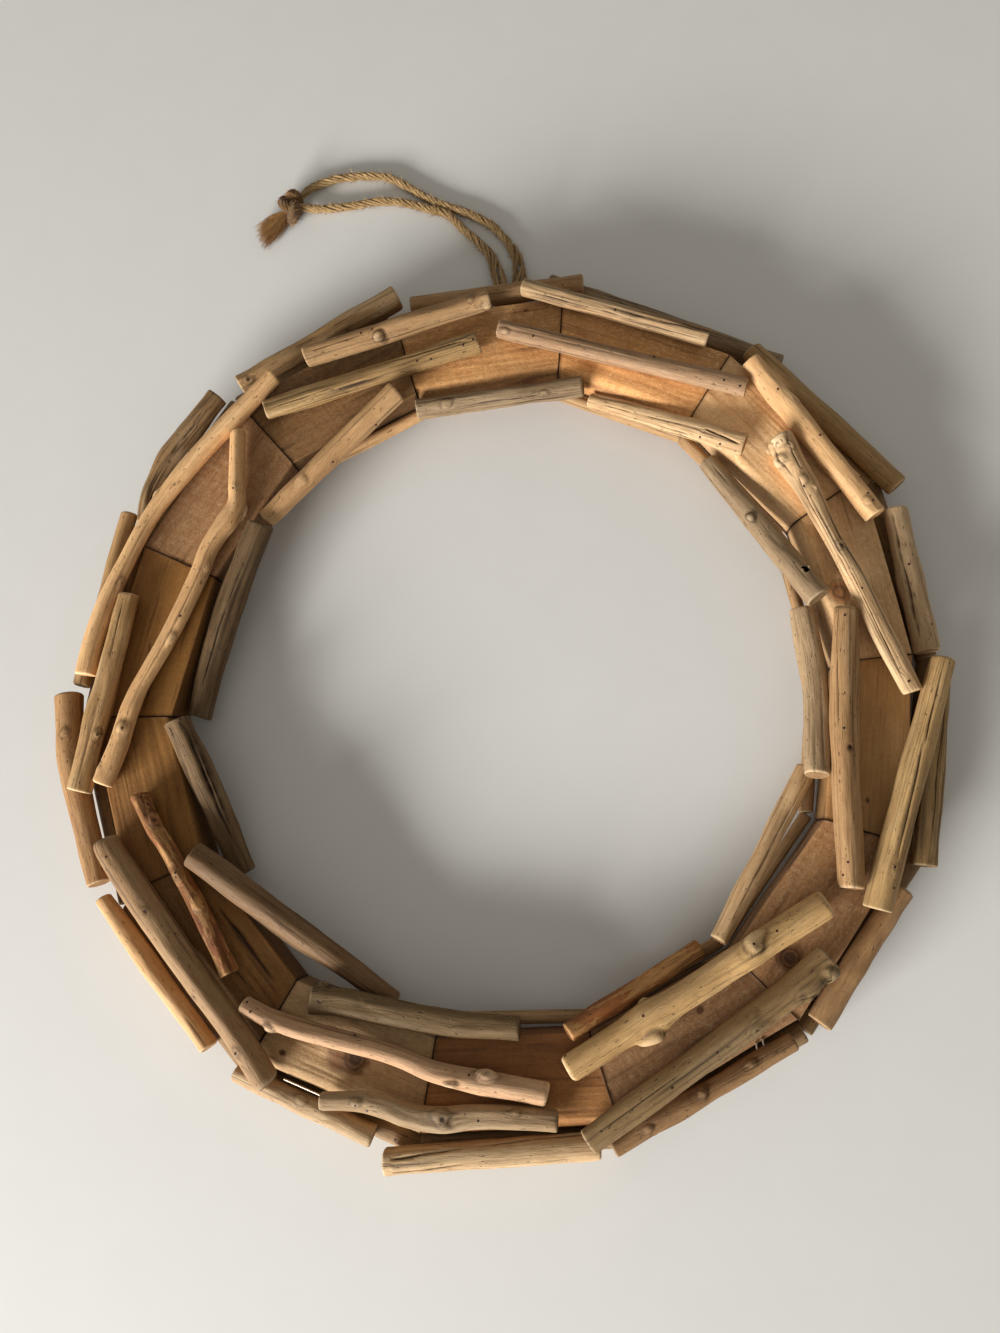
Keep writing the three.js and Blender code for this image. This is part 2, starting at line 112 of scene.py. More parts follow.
# %% [markdown]
# ## A blank bar
# Sticks, boards and strands of twine are all long things with a skin round them, so they all start
# from the same blank: a cylinder whose sides are cut across many times. The blank is modelled
# once. Each piece gets its own copy, and only the places of its points are worked out anew.

# %% Make a blank bar
class Blank:
    """A round bar one unit long, with the ring and the column that each of its points is in."""

    def __init__(self, sides, cuts):
        self.sides = sides
        self.rings = 1
        bpy.ops.object.select_all(action="DESELECT")
        bpy.ops.mesh.primitive_cylinder_add(
            vertices=sides, radius=1, depth=1, end_fill_type="TRIFAN"
        )
        bar = bpy.context.object
        bpy.context.tool_settings.mesh_select_mode = (False, True, False)
        for count in cuts:
            self.cut_across(bar, count)
        self.mesh = bar.data
        place = np.array([v.co for v in self.mesh.vertices])
        self.ring = np.round((place[:, 2] + 0.5) * self.rings).astype(int)
        turn = np.arctan2(place[:, 1], place[:, 0])
        self.column = np.round(turn / (2 * math.pi) * sides).astype(int) % sides
        self.pole = np.hypot(place[:, 0], place[:, 1]) < 0.5
        bpy.data.objects.remove(bar)

    def cut_across(self, bar, count):
        """Cuts each long edge into count pieces."""
        for edge in bar.data.edges:
            start, end = (bar.data.vertices[i].co.z for i in edge.vertices)
            edge.select = abs(start - end) > 1e-6
        for polygon in bar.data.polygons:
            polygon.select = False
        bpy.ops.object.mode_set(mode="EDIT")
        bpy.ops.mesh.subdivide(number_cuts=count - 1)
        bpy.ops.object.mode_set(mode="OBJECT")
        self.rings *= count

    def shaped(self, name, places, marks):
        """A copy of the bar with its points at places, and its marks kept as attributes."""
        mesh = self.mesh.copy()
        mesh.name = name
        mesh.vertices.foreach_set("co", self.spread(places).astype(np.float32).ravel())
        for mark, values in marks.items():
            kind = "FLOAT_VECTOR" if values.ndim == 3 else "FLOAT"
            socket = "vector" if values.ndim == 3 else "value"
            layer = mesh.attributes.new(mark, kind, "POINT")
            layer.data.foreach_set(socket, self.spread(values).astype(np.float32).ravel())
        mesh.update()
        piece = bpy.data.objects.new(name, mesh)
        bpy.context.scene.collection.objects.link(piece)
        mesh.shade_smooth()
        return piece

    def spread(self, grid):
        """Values given by ring and column, one for each point. A pole takes its ring's mean."""
        values = grid[self.ring, self.column]
        middle = grid.mean(axis=1)
        values[self.pole] = middle[self.ring[self.pole]]
        return values


stick_blank = Blank(48, (12, 11))
row_blank = Blank(20, (6, 7))
board_blank = Blank(96, (6, 11))
strand_blank = Blank(8, (16, 20))
print("stick blank:", len(stick_blank.mesh.polygons), "faces")

# %% [markdown]
# ## The hanging loop
# The wreath hangs by a loop of jute twine, 3.8 mm thick. Both its runs come out under the sticks
# at the top, lie on the table side by side and end in one knot. Each run is a cord of its own. It
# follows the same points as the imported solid, so it lies in the same place. A line drawn through
# the points, and cut into even steps, is the middle of the cord.

# %% The runs of twine
RING_CENTRE = np.array([6.1, -3.7, 0.0])
TWINE_DIAMETER = 3.8
LOW = 2.2
UPPER_RUN = [
    (6.2, 178.7, 7), (7.2, 184, 7), (9.4, 194, 5.6), (10.1, 201.2, 3.6), (8.8, 211.9, LOW),
    (4.1, 221.4, LOW), (-3.6, 230.7, LOW), (-15.3, 238.2, LOW), (-24.7, 242.4, LOW),
    (-34.6, 247.7, LOW), (-44.7, 255.2, LOW), (-54.8, 261.2, LOW), (-66.5, 263.1, LOW),
    (-79.7, 262.9, LOW), (-89.8, 260.5, LOW), (-97.3, 255.2, 4),
]
LOWER_RUN = [
    (2.7, 178.7, 7), (2.2, 184, 7), (1.2, 194, 5.6), (0.1, 202, 3.6), (-3.7, 214, LOW),
    (-9.5, 221.5, LOW), (-17.3, 229.7, LOW), (-24.7, 238, LOW), (-34.6, 242.1, LOW),
    (-46.6, 246.5, LOW), (-59.6, 248.2, LOW), (-72.2, 247.1, LOW), (-84.3, 246.5, LOW),
    (-95.7, 246.4, 4),
]


def smooth_route(points, steps=12):
    """A centripetal Catmull-Rom line through the points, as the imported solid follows."""
    p = np.array(points, float)
    p = np.vstack([2 * p[0] - p[1], p, 2 * p[-1] - p[-2]])
    line = []
    for a, b, c, d in zip(p, p[1:], p[2:], p[3:]):
        knots = np.cumsum([0] + [math.sqrt(np.linalg.norm(v)) for v in (b - a, c - b, d - c)])
        for t in np.linspace(knots[1], knots[2], steps, endpoint=False):
            line.append(between_four((a, b, c, d), knots, t))
    return np.vstack([line, p[-2]])


def between_four(points, knots, t):
    """A point of the line at t, between the second and the third of four points."""
    (a, b, c, d), (k0, k1, k2, k3) = points, knots
    first = part_way(part_way(a, b, k0, k1, t), part_way(b, c, k1, k2, t), k0, k2, t)
    second = part_way(part_way(b, c, k1, k2, t), part_way(c, d, k2, k3, t), k1, k3, t)
    return part_way(first, second, k1, k2, t)


def part_way(a, b, start, end, t):
    """The place between a and b at t, where a is at start and b at end."""
    return a + (b - a) * (t - start) / (end - start)


def distances(line):
    """How far along the line each of its points is."""
    return np.r_[0, np.cumsum(np.linalg.norm(np.diff(line, axis=0), axis=1))]


def evenly(line, count):
    """The line again, as that many even steps."""
    far = distances(line)
    at = np.linspace(0, far[-1], count + 1)
    return np.column_stack([np.interp(at, far, line[:, k]) for k in range(3)])


def length_of(line):
    """How long the line is, in metres."""
    return float(np.linalg.norm(np.diff(line, axis=0), axis=1).sum())


upper_route = evenly(smooth_route(UPPER_RUN) + RING_CENTRE, strand_blank.rings) * MM
lower_route = evenly(smooth_route(LOWER_RUN) + RING_CENTRE, strand_blank.rings) * MM
print("runs:", round(length_of(upper_route), 4), round(length_of(lower_route), 4), "m")

# %% [markdown]
# ## Twist the plies of each run
# Jute twine is a loose bundle of soft plies laid round each other. A single tube with a drawn-on
# pattern would look like wire, so each ply is a bar of its own, wound round the run's middle line
# once every 26 mm, a little unevenly. Where the runs leave the wreath they have come untwisted, so
# there the plies lie side by side. Each point also keeps a mark called grain: where it would be if
# the ply were straightened out. The jute's fibres are drawn from that mark, so that they follow the
# twist. The shares are shares of the twine's diameter.

# %% Lay the plies
TWIST_MM = 26
PLIES = 6
PLY_SHARE = 0.17
PLY_REACH_SHARE = 0.31
CORE_REACH_SHARE = 0.05
PLY_LOWEST_MM = 0.7
LOOSE_MM = 36
LOOSE_REACH_MM = 3.3
LOOSE_FLATTENED = 0.62
LED_MM = 6
LUMPS = 40
LUMP_SHARE = 0.05
UNEVEN_REACH = 0.13
UNEVEN_TURN = 0.035
REACH_DRAWS, TURN_DRAWS = 18, 12


def smoothstep(t):
    """Nothing below 0 and one above 1, with a soft step between them."""
    t = np.clip(t, 0, 1)
    return t * t * (3 - 2 * t)


def headings(line):
    """The way ahead at each point, and two ways across it that don't spin about it."""
    ahead = np.gradient(line, axis=0)
    ahead /= np.linalg.norm(ahead, axis=1)[:, None]
    side = np.zeros_like(line)
    side[0] = np.cross(ahead[0], (0, 0, 1))
    for i in range(len(line)):
        side[i] = side[max(i - 1, 0)]
        side[i] -= ahead[i] * (side[i] @ ahead[i])
        side[i] /= np.linalg.norm(side[i])
    return ahead, side, np.cross(side, ahead)


def wound(line, start, turns, away, flat=1.0):
    """A line that winds round another one. turns may be one number, or the turn at each point."""
    _, side, up = headings(line)
    if np.isscalar(turns):
        turns = turns * np.linspace(0, 1, len(line))
    turn = (start + turns) * 2 * math.pi
    away = np.broadcast_to(away, len(line))[:, None]
    flat = np.broadcast_to(flat, len(line))[:, None]
    return line + away * (np.cos(turn)[:, None] * up * flat + np.sin(turn)[:, None] * side)


def strand(name, line, radius, seed, lean=2.2):
    """A closed tube along a line, with the fibres' slant kept in its grain."""
    _, side, up = headings(line)
    far = distances(line)
    sides = strand_blank.sides
    turn = np.arange(sides) / sides * 2 * math.pi
    draw = np.random.default_rng(seed)
    lumps = np.interp(far, np.linspace(0, far[-1], LUMPS), draw.normal(0, LUMP_SHARE, LUMPS))
    ridges = 1 + 0.06 * np.cos(3 * turn)[None, :] + lumps[:, None]
    reach = np.broadcast_to(radius, len(line))[:, None] * ridges
    places = line[:, None] + reach[..., None] * (
        np.cos(turn)[None, :, None] * up[:, None] + np.sin(turn)[None, :, None] * side[:, None]
    )
    slant = turn[None, :] + (far / (lean * TWINE_DIAMETER * MM))[:, None]
    grain = np.stack(
        [np.cos(slant) * MM, np.sin(slant) * MM, np.broadcast_to(far[:, None], slant.shape) + seed],
        axis=2,
    )
    return strand_blank.shaped(name, places, {"grain": grain})


def join(name, pieces):
    """Several pieces joined into one, as by hand."""
    bpy.ops.object.select_all(action="DESELECT")
    for piece in pieces:
        piece.select_set(True)
    bpy.context.view_layer.objects.active = pieces[0]
    bpy.ops.object.join()
    pieces[0].name = name
    pieces[0].data.name = name
    return pieces[0]


def led_into(route, goal):
    """The run's line with its last few millimetres led half the way to the knot's middle."""
    far = distances(route)
    share = smoothstep((far - far[-1] + LED_MM * MM) / (LED_MM * MM)) * 0.5
    return route + (goal - route[-1]) * share[:, None]


def looseness(line):
    """How far the plies have come apart at each point, from one at the exit to nothing."""
    return np.exp(-((distances(line) / (LOOSE_MM * MM)) ** 4))


def twisted(name, line, seed):
    """A run of twine: a core ply, and the others wound round it, untwisted at the exit."""
    draw = np.random.default_rng(seed)
    far = distances(line)
    reach_at, turn_at = (np.linspace(0, far[-1], count) for count in (REACH_DRAWS, TURN_DRAWS))
    loose = looseness(line)
    turns = np.cumsum(1 - loose)
    turns *= (far[-1] / (TWIST_MM * MM)) / turns[-1]
    plies = []
    for ply in range(PLIES + 1):
        uneven = np.interp(far, reach_at, draw.normal(0, UNEVEN_REACH, REACH_DRAWS))
        turned = np.interp(far, turn_at, draw.normal(0, UNEVEN_TURN, TURN_DRAWS))
        share = PLY_REACH_SHARE if ply else CORE_REACH_SHARE
        tight = TWINE_DIAMETER * MM * share * (1 + uneven)
        away = tight + loose * (LOOSE_REACH_MM * MM - tight) * draw.uniform(0.55, 1.05)
        flat = 1 - LOOSE_FLATTENED * loose
        middle = wound(line, ply / PLIES + 0.1, turns + turned, away, flat)
        middle[:, 2] = np.maximum(middle[:, 2], PLY_LOWEST_MM * MM)
        radius = TWINE_DIAMETER * MM * PLY_SHARE * draw.uniform(0.85, 1.12)
        plies.append(strand(name + str(ply), middle, radius, seed + ply))
    return join(name, plies)


knot_middle = (np.array([-102.4, 247.4, 5.2]) + RING_CENTRE) * MM
upper_route = led_into(upper_route, knot_middle)
lower_route = led_into(lower_route, knot_middle)
upper_cord = twisted("twine_upper_run", upper_route, 3)
lower_cord = twisted("twine_lower_run", lower_route, 16)
print("strand points:", len(upper_cord.data.vertices))

# %% [markdown]
# ## The knot and its tail
# The two runs end in an overhand knot, pulled tight into a lump 19 mm long. A knot's own line is a
# trefoil: three loops that pass over and under one another. Soft plies are wound along it, and the
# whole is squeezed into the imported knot's size. Past the knot the ends are frayed into a short
# brush. Each fibre of the brush is a thin line that starts in the knot and spreads.

# %% The knot and the frayed tail
KNOT_REACH = np.array([6.2, 9.2, 4.4]) * MM
KNOT_PLIES_TAKE = np.array([2.4, 2.6, 2.1]) * MM
KNOT_TURN = math.radians(8)
KNOT_PLY_MM = 0.95
KNOT_WIND_MM = 1.6
KNOT_WINDS = 5
KNOT_DRAWS = 20
TAIL_START = (np.array([-105.0, 244.0, 3.9]) + RING_CENTRE) * MM
TAIL_END = (np.array([-117.2, 232.6, 3.1]) + RING_CENTRE) * MM
TAIL_HALF_MM = 1.5
TAIL_HALF_HIGH_MM = 1.4
BRUSH_HALF_MM = 5.6
BRUSH_HALF_HIGH_MM = 2.3
BRUSH_MIDDLE_MM = 3.0
CLUMP_MM = 0.7
BOW_MM = 0.8
FIBRES = 460
FIBRE_MM = 0.21
FIBRE_MARKS_APART_MM = 7
HAIR_STEPS = 5
HAIR_CORNERS = (0, 2.1, 4.2)


def trefoil(count, reach):
    """The line of a tight overhand knot, flat on the table."""
    t = np.linspace(0.0, 2 * math.pi, count + 1)
    line = np.column_stack([
        (np.sin(t) + 2 * np.sin(2 * t)) / 2.9,
        (np.cos(t) - 2 * np.cos(2 * t)) / 2.9,
        -np.sin(3 * t),
    ]) * reach
    c, s = math.cos(KNOT_TURN), math.sin(KNOT_TURN)
    turned = np.array([[c, -s, 0], [s, c, 0], [0, 0, 1]])
    return line @ turned.T + knot_middle


knot_line = trefoil(strand_blank.rings, KNOT_REACH - KNOT_PLIES_TAKE)
knot_draw = np.random.default_rng(19)
knot_plies = []
shares = np.linspace(0, 1, len(knot_line))
for ply in range(PLIES):
    drawn = knot_draw.normal(0, 0.2, KNOT_DRAWS)
    wobble = np.interp(shares, np.linspace(0, 1, KNOT_DRAWS), drawn)
    wobble[-1] = wobble[0]
    path = wound(knot_line, ply / PLIES, KNOT_WINDS, (KNOT_WIND_MM + wobble) * MM)
    knot_plies.append(strand("knot" + str(ply), path, KNOT_PLY_MM * MM, 20 + ply, lean=1.4))
knot = join("twine_knot_lump", knot_plies)


def hair(root, tip, bow, thick):
    """The points of one fibre: a thin three-sided line that bows to one side and tapers."""
    steps = np.linspace(0, 1, HAIR_STEPS)[:, None]
    line = root + (tip - root) * steps + bow * np.sin(steps * math.pi)
    ahead = (tip - root) / np.linalg.norm(tip - root)
    side = np.cross(ahead, (0.2, 0.3, 0.9))
    side /= np.linalg.norm(side)
    up = np.cross(side, ahead)
    taper = thick * (1 - 0.7 * steps)
    corners = [line + taper * (math.cos(a) * up + math.sin(a) * side) for a in HAIR_CORNERS]
    return np.stack(corners, axis=1).reshape(-1, 3)


def brush(name, fibres):
    """Many fibres in one mesh."""
    points = np.vstack(fibres)
    each, sides = len(fibres[0]), len(HAIR_CORNERS)
    faces = []
    for start in range(0, len(points), each):
        for ring in range(start, start + each - sides, sides):
            for side in range(sides):
                a, b = ring + side, ring + (side + 1) % sides
                faces.append((a, b, b + sides, a + sides))
        corners = list(range(start, start + each))
        faces.append(tuple(corners[:sides][::-1]))
        faces.append(tuple(corners[-sides:]))
    mesh = bpy.data.meshes.new(name)
    mesh.from_pydata(points.tolist(), [], faces)
    layer = mesh.attributes.new("grain", "FLOAT_VECTOR", "POINT")
    which = np.repeat(np.arange(len(fibres)), each)[:, None]
    marks = points + which * FIBRE_MARKS_APART_MM * MM
    layer.data.foreach_set("vector", marks.astype(np.float32).ravel())
    piece = bpy.data.objects.new(name, mesh)
    bpy.context.scene.collection.objects.link(piece)
    return piece


draw = np.random.default_rng(31)
tail_fibres = []
tail_way = TAIL_END - TAIL_START
tail_side = np.cross(tail_way, (0, 0, 1))
tail_side /= np.linalg.norm(tail_side)
for _ in range(FIBRES):
    across, high = draw.uniform(-1, 1), draw.uniform(-1, 1)
    clump = math.sin(across * 7 + 1)
    root = TAIL_START + tail_side * across * TAIL_HALF_MM * MM
    root = root + np.array([0, 0, high * TAIL_HALF_HIGH_MM * MM])
    tip = TAIL_START + tail_way * (draw.uniform(0.62, 1.08) - 0.12 * across + 0.08 * clump)
    aside = across * BRUSH_HALF_MM + CLUMP_MM * clump + draw.normal(0, 1.0)
    tip = tip + tail_side * aside * MM
    tip[2] = (BRUSH_MIDDLE_MM + high * BRUSH_HALF_HIGH_MM) * MM
    bow = draw.normal(0, BOW_MM, 3) * MM * [1, 1, 0.5]
    tail_fibres.append(hair(root, tip, bow, FIBRE_MM * MM))
tail = brush("twine_tail", tail_fibres)
print("tail fibres:", len(tail_fibres))

# %% [markdown]
# ## Loose hairs on the twine
# Jute is never smooth. Most of its short fibres lie on the plies and follow their slant, and every
# third one stands off. They are placed by a seeded draw, all along both runs and round the knot.

# %% Scatter the hairs
UPPER_HAIRS, LOWER_HAIRS, KNOT_HAIRS = 1500, 1300, 1300
HAIR_MM = 0.11
STANDING_MM = 2.6
KNOT_STANDING_MM = 2.2
STANDING_SHARE = 0.34
LYING_MM = 0.25
ROOT_MM = 0.1
HAIR_LOWEST_MM = 0.5
BUNDLE_MM = 1.75
OPENED_MM = 1.5
KNOT_BUNDLE_MM = 2.3
FACES_PER_HAIR = len(HAIR_CORNERS) * (HAIR_STEPS - 1) + 2


def hairs_along(route, count, seed, reach, wide):
    """Hairs round a line: where each one starts, and how far its tip turns and stands off."""
    draw = np.random.default_rng(seed)
    _, side, up = headings(route)
    found = []
    for _ in range(count):
        i = draw.integers(3, len(route) - 8)
        j = i + draw.integers(2, 6)
        turn = draw.uniform(0, 2 * math.pi)
        slant = turn + draw.uniform(0.2, 0.9)
        stands = draw.uniform(0, 1) ** 2 * reach if draw.uniform() < STANDING_SHARE else LYING_MM
        aside = math.cos(turn) * up[i] + math.sin(turn) * side[i]
        root = route[i] + aside * (wide[i] - ROOT_MM * MM)
        out = math.cos(slant) * up[j] + math.sin(slant) * side[j]
        tip = route[j] + out * (wide[j] + stands * MM)
        tip[2] = max(tip[2], HAIR_LOWEST_MM * MM)
        root[2] = max(root[2], HAIR_LOWEST_MM * MM)
        found.append(hair(root, tip, out * draw.uniform(0, 0.5) * MM, HAIR_MM * MM))
    return found


def width_along(route):
    """How wide the bundle of plies is at each point of a run."""
    return (BUNDLE_MM + OPENED_MM * looseness(route)) * MM


knot_width = np.full(len(knot_line), KNOT_BUNDLE_MM * MM)
hairs = brush(
    "twine_hairs",
    hairs_along(upper_route, UPPER_HAIRS, 41, STANDING_MM, width_along(upper_route))
    + hairs_along(lower_route, LOWER_HAIRS, 42, STANDING_MM, width_along(lower_route)),
)
knot_hairs = brush(
    "knot_hairs", hairs_along(knot_line, KNOT_HAIRS, 43, KNOT_STANDING_MM, knot_width)
)
print("hairs:", len(hairs.data.polygons) // FACES_PER_HAIR)

for cord, route, pieces in (
    (upper_cord, upper_route, [knot, hairs, knot_hairs]),
    (lower_cord, lower_route, [tail]),
):
    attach(cord, BODY)
    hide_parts("twine_loop")
for piece in (knot, tail):
    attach(piece, BODY)
    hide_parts("twine_knot")
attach(hairs, BODY)
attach(knot_hairs, BODY)

# %% [markdown]
# ## Read a stick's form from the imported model
# A packed stick is a closed tube of eight-cornered rings with a point in the middle of each end.
# Walking outwards from one end's point, a step at a time along the edges, gives the rings in
# order. Their middles are the line the stick bends along, and their corners say how thick it is.
# A smooth closed curve through eight corners is a short sum of waves, so each ring is kept as
# those waves, which can then be read at any angle.

# %% Read the rings
RING_CORNERS = 8
WAVES = (0, 1, 2, 3, 4, -3, -2, -1)


def welded(node):
    """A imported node's points, each once, and the edges between them."""
    mesh = frame["nodes"][node].data
    place = np.array([v.co for v in mesh.vertices])
    _, first, which = np.unique(np.round(place, 6), axis=0, return_index=True, return_inverse=True)
    which = which.ravel()
    near = [set() for _ in first]
    for polygon in mesh.polygons:
        corners = [int(which[i]) for i in polygon.vertices]
        for a, b in zip(corners, corners[1:] + corners[:1]):
            near[a].add(b)
            near[b].add(a)
    return place[first], near


def rings_of(node):
    """The rings of a packed stick, from one end to the other."""
    place, near = welded(node)
    poles = (i for i, around in enumerate(near) if len(around) == RING_CORNERS)
    start = next(i for i in poles if is_end(place, near, i))
    rings, seen, front = [], {start}, {start}
    while front:
        front = {j for i in front for j in near[i]} - seen
        seen |= front
        if len(front) == RING_CORNERS:
            rings.append(place[sorted(front)])
    return rings


def is_end(place, near, i):
    """Whether a point is in the middle of a flat end: its neighbours' mean is the point itself."""
    around = place[sorted(near[i])]
    flat = np.linalg.svd(around - place[i], compute_uv=False)[2] < 2e-5
    return flat and np.linalg.norm(around.mean(axis=0) - place[i]) < 1.5 * MM


def across_stick(ahead):
    """The level way across a stick, and the way up from it."""
    side = np.column_stack([ahead[:, 1], -ahead[:, 0], np.zeros(len(ahead))])
    side /= np.linalg.norm(side, axis=1)[:, None]
    return side, np.cross(side, ahead)


def form_of(node):
    """A stick's middle line, and its rings as waves."""
    rings = rings_of(node)
    middle = np.array([ring.mean(axis=0) for ring in rings])
    ahead = np.gradient(middle, distances(middle), axis=0)
    ahead /= np.linalg.norm(ahead, axis=1)[:, None]
    side, up = across_stick(ahead)
    waves = []
    for ring, centre, s, u in zip(rings, middle, side, up):
        reach = (ring - centre) @ u + 1j * ((ring - centre) @ s)
        reach = reach[np.argsort(np.angle(reach))]
        first = int(np.argmin(np.abs(np.angle(reach))))
        waves.append(np.fft.fft(np.roll(reach, -first)) / RING_CORNERS)
    waves[0], waves[-1] = waves[1], waves[-2]
    return middle, np.array(waves)


middle, waves = form_of("front_outer_09")
print("front_outer_09:", len(middle), "rings,", round(distances(middle)[-1] / MM, 1), "mm long")

# %% [markdown]
# ## Give a stick the unevenness of wood
# A driftwood stick is never a clean tube. Its skin has long shallow flutes, fine lines along the
# grain, knots where twigs grew, and cracks from drying. Its sawn ends are softened by water. All
# of these are small changes of the radius, worked out for each ring and column. What is deep is
# also marked dark, which paints shade into it, and what stands up is marked worn, so that the
# finish follows the shape.

# %% Wood's unevenness
SHRINK = 0.975
CAP_SHARES = (0.25, 0.5, 0.75, 0.92)
EDGE_STEPS = 7
ROUNDED_MM = 1.2
HEIGHTS = np.linspace(4, 36, 33) * MM
DEEPEST, HIGHEST = -0.45, 0.35
END_MM = 3
SLOPE_MM = 0.9
FINE_MM = 0.05
LUMP_MM = 0.14
ROUGH_MM = 0.08
GROOVE_MM = 0.28


def unevenness(draw, rings, sides, along, around):
    """Smooth seeded unevenness about 1 high. along and around are its size in rings and columns."""
    waves = np.fft.fft2(draw.normal(size=(2 * rings, sides)))
    a = np.fft.fftfreq(2 * rings)[:, None]
    b = np.fft.fftfreq(sides)[None, :]
    spread = (math.pi * a * along) ** 2, (math.pi * b * around) ** 2
    soft = np.fft.ifft2(waves * np.exp(-2 * spread[0] - 2 * spread[1])).real[:rings]
    return soft / soft.std()


def stations(length, rings, rounded):
    """How far along each ring is, its share of the full radius, and how much its edge is drawn in.
    Both ends are flat caps with soft edges, and the rings between them are even."""
    edge = np.linspace(0, math.pi / 2, EDGE_STEPS)
    start = np.r_[np.zeros(len(CAP_SHARES)), rounded * (1 - np.cos(edge))]
    cap = np.r_[CAP_SHARES, np.ones(EDGE_STEPS)]
    drawn_in = np.r_[np.ones(len(CAP_SHARES)), 1 - np.sin(edge)]
    inside = rings + 1 - 2 * len(start)
    even = np.linspace(rounded, length - rounded, inside + 2)[1:-1]
    far = np.r_[start, even, length - start[::-1]]
    caps = np.r_[cap, np.ones(inside), cap[::-1]]
    return far, caps, np.r_[drawn_in, np.zeros(inside), drawn_in[::-1]]


def read_between(at, known, values):
    """Smooth values between known ones: a curve that keeps each one's slope."""
    slope = np.gradient(values, known, axis=0)
    i = np.clip(np.searchsorted(known, at) - 1, 0, len(known) - 2)
    wide = known[i + 1] - known[i]
    t = ((at - known[i]) / wide)[:, None]
    wide = wide[:, None]
    return (
        values[i] * (1 + 2 * t) * (1 - t) ** 2 + slope[i] * wide * t * (1 - t) ** 2
        + values[i + 1] * t**2 * (3 - 2 * t) + slope[i + 1] * wide * t**2 * (t - 1)
    )


